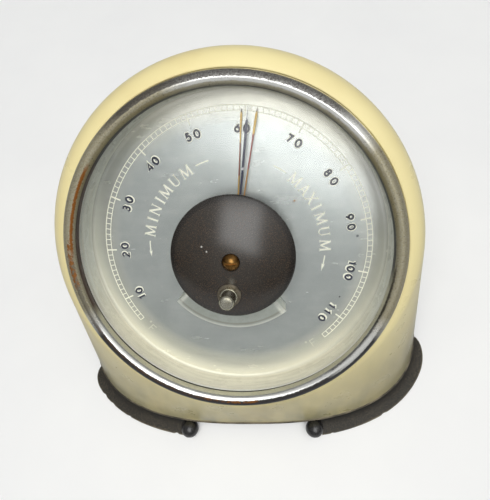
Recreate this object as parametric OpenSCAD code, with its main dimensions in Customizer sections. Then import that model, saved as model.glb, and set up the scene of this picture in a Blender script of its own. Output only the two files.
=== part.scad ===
// Desk maximum and minimum dial thermometer with a sloping dial and a centre reset knob.
// Origin: on the table, under the middle of the base. Front towards -Y, right hand towards +X.
// The dial's own frame has x to the right, y up the slope and z out of the dial face.

/* [Case] */
// Angle between the dial face and the table, in degrees
dial_slope = 37; // [34:1:40]
// Height of the dial's centre above the lower edge of the case
dial_rise = 57; // [55:0.5:61]
// Distance from the dial's centre forward to the middle of the base
base_lead = 5; // [2:0.5:8]
// Width of the case's rounded shoulder outside the bezel
shoulder_w = 8.4; // [7:0.1:10]
// Radius of the ring's rounded edge
lip_round = 10; // [8:0.5:11]
// Height of the ring's front above the dial face
lip_front = 12.5; // [12:0.1:13.5]
// Thickness of the case wall
case_wall = 3; // [2.4:0.1:3.6]
// Half the width of the case at its lower edge
base_half_w = 78; // [74:0.5:84]
// Half the depth of the case at its lower edge
base_half_d = 58; // [56:0.5:62]
// Distance that the base's widest line lies in front of its middle
base_fore = 10; // [4:0.5:12]
// Squareness of the base outline, where 2 is an ellipse
base_power = 2.6; // [2.3:0.01:3.4]
// Thickness of the seat that carries the dial pan, front to back
seat_t = 3.5; // [2.5:0.1:5]
// Width of the seat's shoulder under the pan's rim
seat_w = 2.6; // [2.3:0.1:2.6]
// Free gap round the bezel in its rebate
rebate_gap = 0.6; // [0.4:0.05:0.9]

/* [Vents] */
// Number of air slots in the back
vent_n = 5; // [3:2:7]
// Distance between air slots
vent_pitch = 12; // [8:0.5:14]
// Width of an air slot
vent_w = 2.4; // [1.5:0.1:4]
// Length of an air slot
vent_len = 22; // [14:1:30]
// Height of the middle of the slots above the lower edge of the case
vent_rise = 30; // [24:1:36]

/* [Base moulding] */
// Thickness of the base plate and its rim
plate_t = 1.8; // [1.4:0.1:2.6]
// Amount that the rim stands out past the case
rim_out = 0.7; // [0.4:0.1:1.2]
// Height of the hollow-curved feet under the plate
skirt_h = 4.8; // [4.6:0.1:6]
// Amount that the front feet stand out past the case
skirt_out = 7.6; // [6.4:0.1:8.4]
// Amount that the rear foot stands out past the case
rear_out = 6.6; // [5.4:0.1:8]
// Height of the feet's upright outer edge
skirt_edge = 0.9; // [0.5:0.1:1.4]
// Thickness of the feet inwards from the case's outline
skirt_in = 1.5; // [1:0.1:3]
// Angle from the base's widest line to the side end of each front foot
foot_side = 15; // [6:1:24]
// Half the angle that the rear foot spans
rear_half = 32; // [20:1:40]
// Angle over which the end of a foot is rounded
foot_round = 5; // [3:0.5:8]
// Radius of the balls that finish the front feet
ball_r = 4; // [3.7:0.1:4.3]
// Angle between the front and each ball, seen from the middle of the base's widest line
ball_angle = 31.3; // [24:0.1:36]
// Distance of each ball's centre outside the case's outline
ball_out = 4; // [3.7:0.1:4.3]
// Distance from each ball's centre to the foot's end
ball_stand = 2.9; // [2.8:0.1:3.1]
// Radius of the ball's spigot
spigot_r = 0.5; // [0.4:0.1:0.6]
// Length of the ball's spigot from the ball's centre
spigot_len = 6; // [4:0.5:8]
// Height of the plate's locating ring inside the case
ring_h = 2; // [1:0.1:3]
// Thickness of the locating ring
ring_t = 2; // [1.2:0.1:3]

/* [Base screws] */
// Radius of a base screw's shank
base_screw_r = 1.5; // [1.2:0.1:1.8]
// Length of a base screw's shank
base_screw_len = 11; // [8:0.5:12]
// Radius of a base screw's head
base_head_r = 3; // [2.6:0.1:3.6]
// Height of a base screw's head
base_head_h = 1.8; // [1.2:0.1:2.4]
// Radius of the bosses for the base screws
boss_r = 5; // [4:0.1:6]
// Height of the bosses for the base screws
boss_h = 14; // [13:0.5:16]
// Distance of a base screw in from the inside of the case wall
boss_in = 4.5; // [3.5:0.1:5.5]

/* [Dial pan] */
// Inside radius of the dial pan's wall
pan_r = 55.3; // [53:0.1:57]
// Thickness of the pan's sheet
pan_t = 0.8; // [0.6:0.05:1]
// Height of the pan's rim above the dial face
pan_h = 9; // [8.4:0.1:9.4]
// Radius of the curve between the dial face and the pan's wall
pan_cove = 1.6; // [0.5:0.1:3]
// Turn of the dial in the case, clockwise in degrees
dial_turn = 7.25; // [-10:0.25:10]

/* [Bezel and glass] */
// Amount that the bezel covers of the dial pan, inwards from its wall
bezel_cover = 1.5; // [1:0.1:2]
// Width of the bezel from its opening to its outside
bezel_w = 4.6; // [4:0.1:5.5]
// Height of the bezel's crest above the glass
bezel_crest = 4; // [3.4:0.1:4.6]
// Height of the bezel's upright inner face above the glass
bezel_face = 2.7; // [1.8:0.1:3]
// Thickness of the bezel's skirt
bezel_t = 0.9; // [0.7:0.1:1]
// Thickness of the glass
glass_t = 2; // [1.8:0.1:2.4]
// Thickness of the sealing ring
gasket_t = 0.8; // [0.5:0.1:1]
// Width of the sealing ring
gasket_w = 2; // [1.5:0.1:3]

/* [Fits] */
// Free gap round a turning shaft
run_gap = 0.05; // [0.03:0.01:0.08]
// Free gap between stacked turning parts
stack_gap = 0.1; // [0.08:0.01:0.15]
// Free gap between parts that are assembled and stay still
seat_gap = 0.1; // [0.05:0.01:0.2]

/* [Centre pipe] */
// Outside radius of the centre pipe
pipe_r = 2.4; // [2.1:0.05:2.6]
// Radius of the pointer arbor
arbor_r = 1; // [0.8:0.05:1.2]
// Radius of the pipe's shoulder on the dial face
shoulder_r = 3.6; // [3.2:0.1:4]
// Height of the shoulder above the dial face
shoulder_h = 0.6; // [0.4:0.05:0.8]
// Radius across the corners of the pipe's nut
pipe_nut_r = 5; // [4.2:0.1:6]
// Thickness of the pipe's nut
pipe_nut_t = 1.8; // [1.2:0.1:2]

/* [Pointers] */
// Turn of the main pointer from the middle of the scale, clockwise in degrees
main_turn = 1.4; // [-20:0.1:20]
// Turn of the minimum pointer from the middle of the scale, clockwise in degrees
min_turn = -1.5; // [-20:0.1:20]
// Turn of the maximum pointer from the middle of the scale, clockwise in degrees
max_turn = 5; // [-20:0.1:20]
// Free gap between the main pointer's tip and the pan's wall
main_tip_gap = 5.6; // [4:0.1:8]
// Length of the needle at the main pointer's end
needle_len = 9.7; // [5:0.1:16]
// Width of the main pointer's broad part
baton_w = 1.1; // [0.8:0.1:1.5]
// Free gap between the minimum pointer's tip and the pan's wall
min_tip_gap = 6.7; // [4:0.1:9]
// Free gap between the maximum pointer's tip and the pan's wall
max_tip_gap = 6.2; // [4:0.1:9]
// Width of the maximum and minimum pointers
idle_w = 0.7; // [0.5:0.1:1]
// Thickness of a pointer's blade
blade_t = 0.3; // [0.2:0.05:0.4]
// Width of a pointer's tip
tip_w = 0.2; // [0.1:0.05:0.3]
// Length of a pointer's tail behind its centre
tail_len = 9; // [7:0.5:12]
// Radius of the hubs of the maximum and minimum pointers
idle_hub_r = 4.2; // [3.8:0.1:5]
// Height of the hubs of the maximum and minimum pointers
idle_hub_h = 0.85; // [0.6:0.05:1]
// Radius of the fixed washers between the hubs
washer_r = 3.8; // [3.2:0.1:4.4]
// Thickness of the fixed washers between the hubs
washer_t = 0.4; // [0.3:0.05:0.6]
// Radius of the main pointer's hub
main_hub_r = 2.8; // [2:0.1:3.5]
// Height of the main pointer's hub
main_hub_h = 1.2; // [0.9:0.1:1.5]

/* [Reset knob] */
// Radius of the domed knob
dome_r = 21.5; // [20:0.1:22.5]
// Height of the dome above its rim
dome_h = 5.5; // [4.5:0.1:6.5]
// Height of the dome's upright rim
dome_rim = 0.8; // [0.4:0.1:1.2]
// Thickness of the dome
dome_t = 2.2; // [1.6:0.1:2.6]
// Free gap between the dome's rim and the glass
dome_gap = 0.35; // [0.25:0.05:0.5]
// Radius of the knob's spindle
spindle_r = 1.5; // [1.3:0.1:1.7]
// Radius of the boss under the dome
dome_boss_r = 4.2; // [3.4:0.1:5]
// Radius of the dome screw's head
dome_head_r = 2.8; // [2.4:0.1:3.4]
// Height of the dome screw's head
dome_head_h = 1.9; // [1.4:0.1:2.4]
// Radius of the dome screw's shank
dome_screw_r = 0.9; // [0.7:0.05:1]
// Depth that the dome screw goes into the spindle
dome_screw_in = 3; // [2:0.1:3.5]
// Width of the slots in the screw heads
slot_w = 0.7; // [0.5:0.1:1]
// Depth of the slots in the screw heads
slot_d = 0.8; // [0.5:0.1:1]
// Turn of the dome screw's slot, anticlockwise in degrees
slot_turn = 8; // [0:1:90]

/* [Finger peg] */
// Distance of the peg from the knob's centre
peg_out = 11.9; // [10.5:0.1:13]
// Radius of the peg
peg_r = 2.35; // [1.8:0.05:2.7]
// Radius of the peg's collar
peg_collar_r = 2.95; // [2.8:0.05:3.3]
// Height of the peg's collar
peg_collar_h = 1.5; // [0.8:0.1:2.5]
// Height of the peg above its washer
peg_h = 7.4; // [5:0.1:9]
// Chamfer at the peg's end
peg_chamfer = 0.5; // [0.2:0.1:0.8]
// Radius of the peg's shank in the dome
peg_shank_r = 1.3; // [1:0.1:1.6]
// Radius of the peg's washer
peg_washer_r = 3.8; // [3.5:0.1:4.2]
// Thickness of the peg's washer
peg_washer_t = 0.8; // [0.5:0.1:1.2]
// Depth of the flat for the washer below the dome's curve
peg_flat_d = 0.3; // [0.2:0.1:0.8]

/* [Glass bush] */
// Radius of the bush in the glass
bush_r = 4; // [3.4:0.1:4.6]
// Radius of the bush's flange
bush_flange_r = 6; // [5.4:0.1:7]
// Thickness of the bush's flange
bush_flange_t = 0.6; // [0.4:0.1:0.8]
// Radius across the corners of the bush's nut
bush_nut_r = 6.5; // [5.6:0.1:8]
// Thickness of the bush's nut
bush_nut_t = 1.6; // [1.2:0.1:1.8]

/* [Reset sector] */
// Outside radius of the sector
sector_r = 28.8; // [27:0.1:30]
// Angle of the sector, in degrees
sector_angle = 90; // [80:1:92]
// Thickness of the sector's sheet
sector_t = 0.6; // [0.4:0.05:0.7]
// Height of the sector's turned-down outer rim
sector_rim = 1.6; // [1:0.1:2]
// Gap between the sector's hub and the bush's nut
sector_drop = 0.5; // [0.3:0.1:0.8]
// Radius of the sector's hub
sector_hub_r = 3; // [2.4:0.1:3.5]
// Height of the sector's hub
sector_hub_h = 1.5; // [1.2:0.1:1.7]
// Radius where the turned-down ends of the sector begin
flap_in_r = 21; // [19:0.1:23]
// Height of the turned-down ends above the dial face
flap_low = 0.7; // [0.5:0.05:0.9]

/* [Movement] */
// Depth of the bridge behind the pan
bridge_d = 18.2; // [17:0.2:20]
// Width of the bridge
bridge_w = 10; // [8:0.5:14]
// Thickness of the bridge's strip
bridge_t = 1.2; // [0.9:0.1:1.5]
// Distance between the insides of the bridge's legs
bridge_in = 35; // [33:0.5:40]
// Length of the bridge's feet
foot_len = 9; // [8:0.5:12]
// Radius of the pan's studs
stud_r = 1.25; // [1:0.05:1.5]
// Length of the pan's studs
stud_len = 3.8; // [3.4:0.1:5]
// Radius across the corners of the stud nuts
stud_nut_r = 2.7; // [2.4:0.1:3.2]
// Thickness of the stud nuts
stud_nut_t = 1.8; // [1.4:0.1:2]
// Outside radius of the rear bush
rear_bush_r = 2.4; // [2:0.1:3]
// Length of the rear bush
rear_bush_len = 3.4; // [3:0.1:4.4]
// Radius of the rear bush's flange
rear_flange_r = 4; // [3.4:0.1:5]
// Thickness of the rear bush's flange
rear_flange_t = 0.8; // [0.6:0.1:1.2]

/* [Bimetal coil] */
// Inside radius of the coil
coil_in_r = 3; // [2.8:0.1:3.6]
// Radius of the middle of the coil's outer end
coil_out_r = 12.6; // [11:0.1:13.4]
// Number of turns in the coil
coil_turns = 5.5; // [3.5:1:6.5]
// Thickness of the coil's strip
coil_t = 0.5; // [0.3:0.05:0.6]
// Width of the coil's strip
coil_w = 6; // [4:0.5:7]
// Distance from the pan to the coil
coil_back = 6; // [5:0.1:6.5]
// Free gap between the coil and the collet on the arbor
coil_gap = 0.35; // [0.3:0.05:0.6]
// Radius of the stud that holds the coil's outer end
coil_stud_r = 1.2; // [1:0.1:1.5]
// Thickness of the regulator arm
arm_t = 0.8; // [0.6:0.1:1]
// Width of the regulator arm
arm_w = 5; // [4:0.5:7]
// Length of the regulator arm's tail
arm_tail = 9; // [7:0.5:12]

/* [Mounting strap] */
// Depth of the strap behind the pan
strap_d = 25; // [23:0.5:27]
// Width of the strap
strap_w = 12; // [8:0.5:14]
// Thickness of the strap
strap_t = 1.2; // [1:0.1:1.6]
// Distance between the pillars
pillar_gap = 70; // [64:1:80]
// Radius of the pillars
pillar_r = 3; // [2.4:0.1:3.6]
// Radius of the strap screws
strap_screw_r = 1.25; // [1:0.05:1.6]
// Depth of the strap screws in the pillars
strap_screw_in = 7; // [5:0.5:10]
// Radius of the strap screws' heads
strap_head_r = 3; // [2.6:0.1:3.8]
// Height of the strap screws' heads
strap_head_h = 1.8; // [1.2:0.1:2.4]

/* [Hidden] */
$fn = 64;
base_steps = 72;
ring_fn = 96;
inner_fn = 48;
foot_steps = 30;
foot_blunt = 0.97;
cove_steps = 5;
knob_rest = 180;

base_top = skirt_h + plate_t;
dial_z = base_top + dial_rise;

bezel_open_r = pan_r - bezel_cover;
bezel_r = bezel_open_r + bezel_w;
case_r = bezel_r + shoulder_w;
seat_wall = 2.5;
bezel_lip = pan_h + pan_t + gasket_t + glass_t;
glass_r = bezel_r - bezel_t - seat_gap;
rebate_r = bezel_r + rebate_gap;
seat_in_r = rebate_r - seat_w;
seat_out_r = rebate_r + seat_wall;
seat_low = pan_h - seat_t;
flange_r = glass_r;

pan_back = -pan_t;
main_len = pan_r - main_tip_gap;
min_len = pan_r - min_tip_gap;
max_len = pan_r - max_tip_gap;
baton_len = main_len - needle_len;
min_low = shoulder_h + stack_gap;
spacer_low = min_low + idle_hub_h + stack_gap;
max_low = spacer_low + washer_t + stack_gap;
keeper_low = max_low + idle_hub_h + stack_gap;
pipe_top = keeper_low + washer_t;
main_low = pipe_top + stack_gap;
main_top = main_low + main_hub_h;

blade_lift = 0.4;
arbor_end = 0.3;
needle_w = 0.4;
taper_len = 10;
rim_low = bezel_lip + dome_gap;
dome_top = rim_low + dome_rim + dome_h;
dome_ball_r = (dome_r * dome_r + dome_h * dome_h) / (2 * dome_h);
dome_ball_z = dome_top - dome_ball_r;
boss_low = bezel_lip + bush_flange_t + dome_gap;
head_sink = 0.35;
dome_web = 1.4;
head_low = dome_top - head_sink;
spindle_top = head_low - dome_web;
peg_flat = dome_ball_z + sqrt(dome_ball_r * dome_ball_r - peg_out * peg_out) - peg_flat_d;
shank_low = peg_flat - dome_t;
nut_low = bezel_lip - glass_t - bush_nut_t;
bush_low = nut_low;
hub_top = nut_low - sector_drop;
hub_low = hub_top - sector_hub_h;
sheet_lift = 0.3;
sheet_low = hub_low + sheet_lift;
sheet_top = sheet_low + sector_t;

bridge_face = pan_back - bridge_d;
bridge_back = bridge_face - bridge_t;
arm_top = bridge_face + arm_t;
bush_face = arm_top + rear_flange_t;
stud_x = bridge_in / 2 + bridge_t + foot_len / 2;
foot_back = pan_back - bridge_t;
coil_top = pan_back - coil_back;
coil_low = coil_top - coil_w;
collet_r = coil_in_r - coil_t / 2 - coil_gap;
collet_over = 0.5;
coil_end = 360 * coil_turns;
coil_steps = 26 * coil_turns;
peen = 0.6;
strap_face = pan_back - strap_d;
strap_back = strap_face - strap_t;
strap_x = (seat_in_r + seat_out_r) / 2;
slot_len = 20;

// Outline of the case's lower edge: a rounded oblong given by its radius at each angle about the
// middle of its widest line, less deep in front of that line than behind it
base_centre = [0, -base_fore];
function base_depth(s) = base_half_d + sign(s) * base_fore;
function base_radius(a) = pow(pow(abs(cos(a)) / base_half_w, base_power)
    + pow(abs(sin(a)) / base_depth(sin(a)), base_power), -1 / base_power);
function base_point(a) = base_radius(a) * [cos(a), sin(a)];
function base_slope(p) = [sign(p.x) * pow(abs(p.x) / base_half_w, base_power - 1) / base_half_w,
    sign(p.y) * pow(abs(p.y) / base_depth(p.y), base_power - 1) / base_depth(p.y)];
function base_normal(a) = let (g = base_slope(base_point(a))) g / norm(g);
function base_offset(a, d) = base_centre + base_point(a) + d * base_normal(a);

module outline(d = 0) {
    polygon([for (i = [0:base_steps - 1]) base_offset(360 * i / base_steps, d)]);
}

// The dial's frame in the case, and the frame of a pointer at a reading
module at_dial() {
    translate([0, base_lead, dial_z]) rotate([dial_slope, 0, 0]) children();
}

module at_scale() {
    at_dial() rotate([0, 0, -dial_turn]) children();
}

module at_reading(turn) {
    at_scale() rotate([0, 0, -turn]) children();
}

module at_knob() {
    at_scale() rotate([0, 0, knob_rest]) children();
}

module disc(r, low, high) {
    translate([0, 0, low]) cylinder(r = r, h = high - low);
}

module washer(r_in, r_out, low, high) {
    difference() {
        disc(r_out, low, high);
        disc(r_in, low - 1, high + 1);
    }
}

// Case: one skin stretched between the rounded ring and the outline of the base
module case_form(inset, low, fn) {
    hull() {
        at_dial() translate([0, 0, lip_front - lip_round])
            rotate_extrude($fn = fn) translate([case_r - lip_round, 0])
            circle(r = lip_round - inset, $fn = 32);
        translate([0, 0, low]) linear_extrude(1) outline(-inset);
    }
}

module boss_places() {
    for (a = [90, 200, 340]) {
        p = base_offset(a, -case_wall - boss_in);
        translate([p.x, p.y, 0]) children();
    }
}

module vent_shape() {
    square([vent_w, vent_len - vent_w], center = true);
    for (s = [-1, 1]) translate([0, s * (vent_len - vent_w) / 2]) circle(d = vent_w, $fn = 24);
}

module case_shell() color([0.90, 0.84, 0.62]) {
    difference() {
        case_form(0, base_top, ring_fn);
        difference() {
            union() {
                case_form(case_wall, base_top - 1, inner_fn);
                translate([0, 0, base_top - 1]) linear_extrude(ring_h + 1 + seat_gap) outline(-case_wall);
            }
            at_dial() disc(seat_out_r, seat_low, lip_front + 1);
            boss_places() disc(boss_r, base_top - 2, base_top + boss_h);
        }
        at_dial() disc(rebate_r, pan_h, lip_front + 1);
        at_dial() disc(seat_in_r, seat_low - 1, pan_h + 1);
        boss_places() disc(base_screw_r + seat_gap, base_top - 1, base_top + base_screw_len);
        for (i = [0:vent_n - 1])
            translate([(i - (vent_n - 1) / 2) * vent_pitch, 0, base_top + vent_rise])
            rotate([-90, 0, 0]) linear_extrude(2 * base_half_d) vent_shape();
    }
}

// Base: plate and locating ring on hollow-curved feet, one from each ball to the side and one at the back
ball_point = base_offset(ball_angle - 90, ball_out);
ball_turn = atan2(base_normal(ball_angle - 90).y, base_normal(ball_angle - 90).x);
foot_from = ball_angle - 90 + asin(ball_stand / norm(ball_point - base_centre));
foot_top = rim_out - 0.2;
spigot_out = 1.2;
spigot_z = 1.9;
boss_gap = 0.3;
function foot_profile(out) = concat([[-skirt_in, 0], [out, 0], [out, skirt_edge]],
    [for (i = [1:cove_steps]) let (t = 90 * (1 - i / cove_steps))
        [out - (out - foot_top) * cos(t), skirt_h - (skirt_h - skirt_edge) * sin(t)]],
    [[-skirt_in, skirt_h]]);

// Share of the foot's reach at an angle e inside a rounded end
function foot_share(e) = e >= foot_round ? 1 : sqrt(1 - pow(foot_blunt * (1 - e / foot_round), 2));
function foot_place(x, share) = x <= foot_top ? x : foot_top + (x - foot_top) * share;

module foot(from, to, out, round_start) {
    profile = foot_profile(out);
    k = len(profile);
    points = [for (i = [0:foot_steps])
        let (t = i / foot_steps,
            a = from + (to - from) * (round_start ? (1 - cos(180 * t)) / 2 : sin(90 * t)),
            share = min(foot_share(to - a), round_start ? foot_share(a - from) : 1))
        for (q = profile) let (p = base_offset(a, foot_place(q.x, share))) [p.x, p.y, q.y]];
    sides = [for (i = [0:foot_steps - 1]) for (j = [0:k - 1])
        let (a = i * k + j, b = i * k + (j + 1) % k) each [[a, b, b + k], [a, b + k, a + k]]];
    ends = [[for (j = [k - 1:-1:0]) j], [for (j = [0:k - 1]) foot_steps * k + j]];
    polyhedron(points = points, faces = concat(sides, ends), convexity = 6);
}

module ball_places() {
    for (s = [0, 1]) mirror([s, 0, 0]) translate([ball_point.x, ball_point.y, ball_r])
        rotate([0, 0, ball_turn]) children();
}

module ball_spigot() {
    translate([spigot_out - ball_out, 0, spigot_z - ball_r]) rotate([-90, 0, 0])
        cylinder(r = spigot_r, h = spigot_len, $fn = 24);
}

module base_moulding() color([0.20, 0.18, 0.15]) {
    difference() {
        union() {
            difference() {
                translate([0, 0, skirt_h]) linear_extrude(plate_t) outline(rim_out);
                ball_places() disc(ball_r, 0, base_top);
            }
            difference() {
                translate([0, 0, base_top]) linear_extrude(ring_h) outline(-case_wall - seat_gap);
                translate([0, 0, base_top - 1]) linear_extrude(ring_h + 2)
                    outline(-case_wall - seat_gap - ring_t);
                boss_places() disc(boss_r + boss_gap, base_top, base_top + ring_h + 1);
            }
            for (side = [0, 1]) mirror([side, 0, 0]) foot(foot_from, -foot_side, skirt_out, false);
            foot(90 - rear_half, 90 + rear_half, rear_out, true);
        }
        boss_places() disc(base_screw_r + boss_gap, skirt_h - 1, base_top + 1);
        ball_places() ball_spigot();
    }
}

module front_balls() color([0.08, 0.08, 0.09]) {
    ball_places() {
        difference() {
            sphere(r = ball_r, $fn = 48);
            translate([-ball_r, ball_stand, -ball_r]) cube(2 * ball_r);
        }
        ball_spigot();
    }
}

module base_screws() color([0.62, 0.60, 0.55]) {
    boss_places() difference() {
        union() {
            disc(base_head_r, skirt_h - base_head_h, skirt_h);
            disc(base_screw_r, skirt_h - 1, skirt_h + base_screw_len);
        }
        translate([0, 0, skirt_h - base_head_h]) cube([slot_len, slot_w, 2 * slot_d], center = true);
    }
}

// Dial pan: the scale's face, a coved wall and a rim that lies on the case's seat
module dial_pan() color([0.66, 0.69, 0.69]) {
    at_dial() {
        difference() {
            rotate_extrude($fn = ring_fn) difference() {
                union() {
                    translate([0, pan_back]) square([pan_r + pan_t, pan_h - pan_back]);
                    translate([pan_r - pan_t, pan_h]) square([flange_r - pan_r + pan_t, pan_t]);
                }
                square([pan_r - pan_cove, pan_h + 1 + pan_t]);
                translate([0, pan_cove]) square([pan_r, pan_h + 1]);
                translate([pan_r - pan_cove, pan_cove]) circle(r = pan_cove, $fn = 48);
            }
            disc(pipe_r + seat_gap, pan_back - 1, 1);
        }
        for (s = [-1, 1]) translate([s * stud_x, 0, 0]) disc(stud_r, pan_back - stud_len, pan_back + pan_t / 2);
    }
}

module crystal_gasket() color([0.12, 0.11, 0.10]) {
    at_dial() washer(glass_r - gasket_w, glass_r, pan_h + pan_t, pan_h + pan_t + gasket_t, $fn = ring_fn);
}

module crystal() color([0.80, 0.88, 0.90, 0.25]) {
    at_dial() washer(bush_r + seat_gap, glass_r, bezel_lip - glass_t, bezel_lip, $fn = ring_fn);
}

// Bezel: sprung over the glass, with a rounded crest that falls to an upright face at the opening
bezel_mid_r = bezel_r - 2.5;
bezel_top = bezel_lip + bezel_crest;
bezel_foot = pan_h + seat_gap;
bezel_shoulder = bezel_lip + 0.9;
bezel_inner = 0.35;

module bezel_ring() color([0.72, 0.68, 0.55]) {
    at_dial() rotate_extrude($fn = ring_fn) polygon(concat(
        [[bezel_r - bezel_t, bezel_lip], [bezel_r - bezel_t, bezel_foot], [bezel_r, bezel_foot]],
        [for (i = [0:cove_steps]) let (t = 90 * i / cove_steps)
            [bezel_mid_r + (bezel_r - bezel_mid_r) * cos(t),
             bezel_shoulder + (bezel_top - bezel_shoulder) * sin(t)]],
        [[(bezel_mid_r + bezel_open_r) / 2, bezel_top - bezel_inner],
         [bezel_open_r + bezel_inner, bezel_lip + bezel_face + bezel_inner],
         [bezel_open_r, bezel_lip + bezel_face], [bezel_open_r, bezel_lip]]));
}

// Centre pipe: carries the two idle pointers outside and the main arbor inside
module centre_pipe() color([0.75, 0.62, 0.35]) {
    at_dial() difference() {
        union() {
            disc(pipe_r, pan_back - pipe_nut_t - arbor_end, pipe_top);
            disc(shoulder_r, 0, shoulder_h);
        }
        disc(arbor_r + run_gap, pan_back - 2 * pipe_nut_t, pipe_top + 1);
    }
}

module pipe_nut() color([0.70, 0.58, 0.33]) {
    at_dial() difference() {
        translate([0, 0, pan_back - pipe_nut_t]) cylinder(r = pipe_nut_r, h = pipe_nut_t, $fn = 6);
        disc(pipe_r, pan_back - pipe_nut_t - 1, pan_back + 1);
    }
}

module pointer_washers() color([0.72, 0.60, 0.36]) {
    at_dial() {
        washer(pipe_r, washer_r, spacer_low, spacer_low + washer_t);
        washer(pipe_r, washer_r, keeper_low, keeper_low + washer_t);
    }
}

// Pointers, drawn pointing up the dial and turned to their readings
module idle_pointer(length, low) {
    difference() {
        union() {
            disc(idle_hub_r, low, low + idle_hub_h);
            translate([0, 0, low + blade_lift]) linear_extrude(blade_t)
                polygon([[-idle_w / 2, -tail_len], [idle_w / 2, -tail_len], [idle_w / 2, length - taper_len],
                    [tip_w / 2, length], [-tip_w / 2, length], [-idle_w / 2, length - taper_len]]);
        }
        disc(pipe_r + run_gap, low - 1, low + idle_hub_h + 1);
    }
}

module minimum_pointer() color([0.55, 0.38, 0.16]) {
    at_reading(min_turn) idle_pointer(min_len, min_low);
}

module maximum_pointer() color([0.55, 0.28, 0.12]) {
    at_reading(max_turn) idle_pointer(max_len, max_low);
}

module main_pointer() color([0.08, 0.10, 0.22]) {
    at_reading(main_turn) difference() {
        union() {
            disc(main_hub_r, main_low, main_top);
            translate([0, 0, main_low + blade_lift]) linear_extrude(blade_t)
                polygon([[-baton_w / 2, -tail_len], [baton_w / 2, -tail_len], [baton_w / 2, baton_len],
                    [needle_w / 2, baton_len + 1], [tip_w / 2, main_len], [-tip_w / 2, main_len],
                    [-needle_w / 2, baton_len + 1], [-baton_w / 2, baton_len]]);
        }
        disc(arbor_r, main_low - 1, main_top + 1);
    }
}

module pointer_arbor() color([0.70, 0.70, 0.70]) {
    at_reading(main_turn) disc(arbor_r, bridge_back - peen - 1, main_top + arbor_end);
}

module coil_collet() color([0.76, 0.62, 0.34]) {
    at_reading(main_turn) washer(arbor_r, collet_r, coil_low - collet_over, coil_top + collet_over);
}

// Bush that carries the knob's spindle through the glass
module crystal_bush() color([0.76, 0.62, 0.34]) {
    at_dial() difference() {
        union() {
            disc(bush_r, bush_low, bezel_lip + bush_flange_t);
            disc(bush_flange_r, bezel_lip, bezel_lip + bush_flange_t);
        }
        disc(spindle_r + run_gap, bush_low - 1, bezel_lip + bush_flange_t + 1);
    }
}

module bush_nut() color([0.72, 0.60, 0.34]) {
    at_dial() difference() {
        translate([0, 0, nut_low]) cylinder(r = bush_nut_r, h = bush_nut_t, $fn = 6);
        disc(bush_r, nut_low - 1, nut_low + bush_nut_t + 1);
    }
}

// Reset knob: a dome held by a screw to the spindle, which turns the sector behind the glass
module dome_ball(r) {
    translate([0, 0, dome_ball_z]) sphere(r = r, $fn = ring_fn);
}

module reset_dome() color([0.15, 0.13, 0.12]) {
    at_knob() difference() {
        union() {
            intersection() {
                dome_ball(dome_ball_r);
                disc(dome_r, rim_low + dome_rim, dome_top + 1);
            }
            disc(dome_r, rim_low, rim_low + dome_rim);
        }
        difference() {
            intersection() {
                dome_ball(dome_ball_r - dome_t);
                disc(dome_r - dome_t, rim_low - 1, dome_top);
            }
            disc(dome_boss_r, boss_low, dome_top);
        }
        disc(spindle_r, rim_low - 1, spindle_top);
        disc(dome_screw_r, rim_low, dome_top + 1);
        disc(dome_head_r + seat_gap, head_low, dome_top + 1);
        translate([0, peg_out, 0]) {
            disc(peg_shank_r, rim_low, peg_flat + 1);
            disc(peg_washer_r + seat_gap, peg_flat, dome_top + 1);
        }
    }
}

module dome_screw() color([0.78, 0.62, 0.30]) {
    at_scale() rotate([0, 0, slot_turn]) difference() {
        union() {
            intersection() {
                disc(dome_head_r, head_low, head_low + dome_head_h);
                translate([0, 0, head_low + dome_head_h - 2 * dome_head_r]) sphere(r = 2 * dome_head_r);
            }
            disc(dome_screw_r, spindle_top - dome_screw_in, head_low + 1);
        }
        translate([0, 0, head_low + dome_head_h]) cube([slot_len, slot_w, 2 * slot_d], center = true);
    }
}

module reset_spindle() color([0.68, 0.67, 0.64]) {
    at_knob() difference() {
        disc(spindle_r, hub_low - arbor_end, spindle_top);
        disc(dome_screw_r, spindle_top - dome_screw_in, spindle_top + 1);
    }
}

module wedge(r_in, r_out, from, to, low, high) {
    rotate([0, 0, from]) translate([0, 0, low]) rotate_extrude(angle = to - from, $fn = ring_fn)
        translate([r_in, 0]) square([r_out - r_in, high - low]);
}

module reset_sector() color([0.70, 0.72, 0.72]) {
    from = 90 - sector_angle / 2;
    to = 90 + sector_angle / 2;
    at_knob() {
        difference() {
            union() {
                disc(sector_hub_r, hub_low, hub_top);
                wedge(0, sector_r, from, to, sheet_low, sheet_top);
                wedge(sector_r - sector_t, sector_r, from, to, sheet_top - sector_rim, sheet_top);
                for (a = [from, to]) rotate([0, 0, a])
                    translate([flap_in_r, a == from ? 0 : -sector_t, flap_low])
                    cube([sector_r - flap_in_r - sector_t / 4, sector_t, sheet_top - flap_low]);
            }
            disc(spindle_r, hub_low - 1, hub_top + 1);
        }
    }
}

module finger_peg() color([0.70, 0.68, 0.60]) {
    at_knob() translate([0, peg_out, 0]) {
        disc(peg_shank_r, shank_low, peg_flat + peg_washer_t);
        disc(peg_collar_r, peg_flat + peg_washer_t, peg_flat + peg_washer_t + peg_collar_h);
        translate([0, 0, peg_flat + peg_washer_t]) cylinder(r = peg_r, h = peg_h - peg_chamfer);
        translate([0, 0, peg_flat + peg_washer_t + peg_h - peg_chamfer])
            cylinder(r1 = peg_r, r2 = peg_r - peg_chamfer, h = peg_chamfer);
    }
}

module peg_washer() color([0.60, 0.58, 0.54]) {
    at_knob() translate([0, peg_out, 0]) washer(peg_shank_r, peg_washer_r, peg_flat, peg_flat + peg_washer_t);
}

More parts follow.
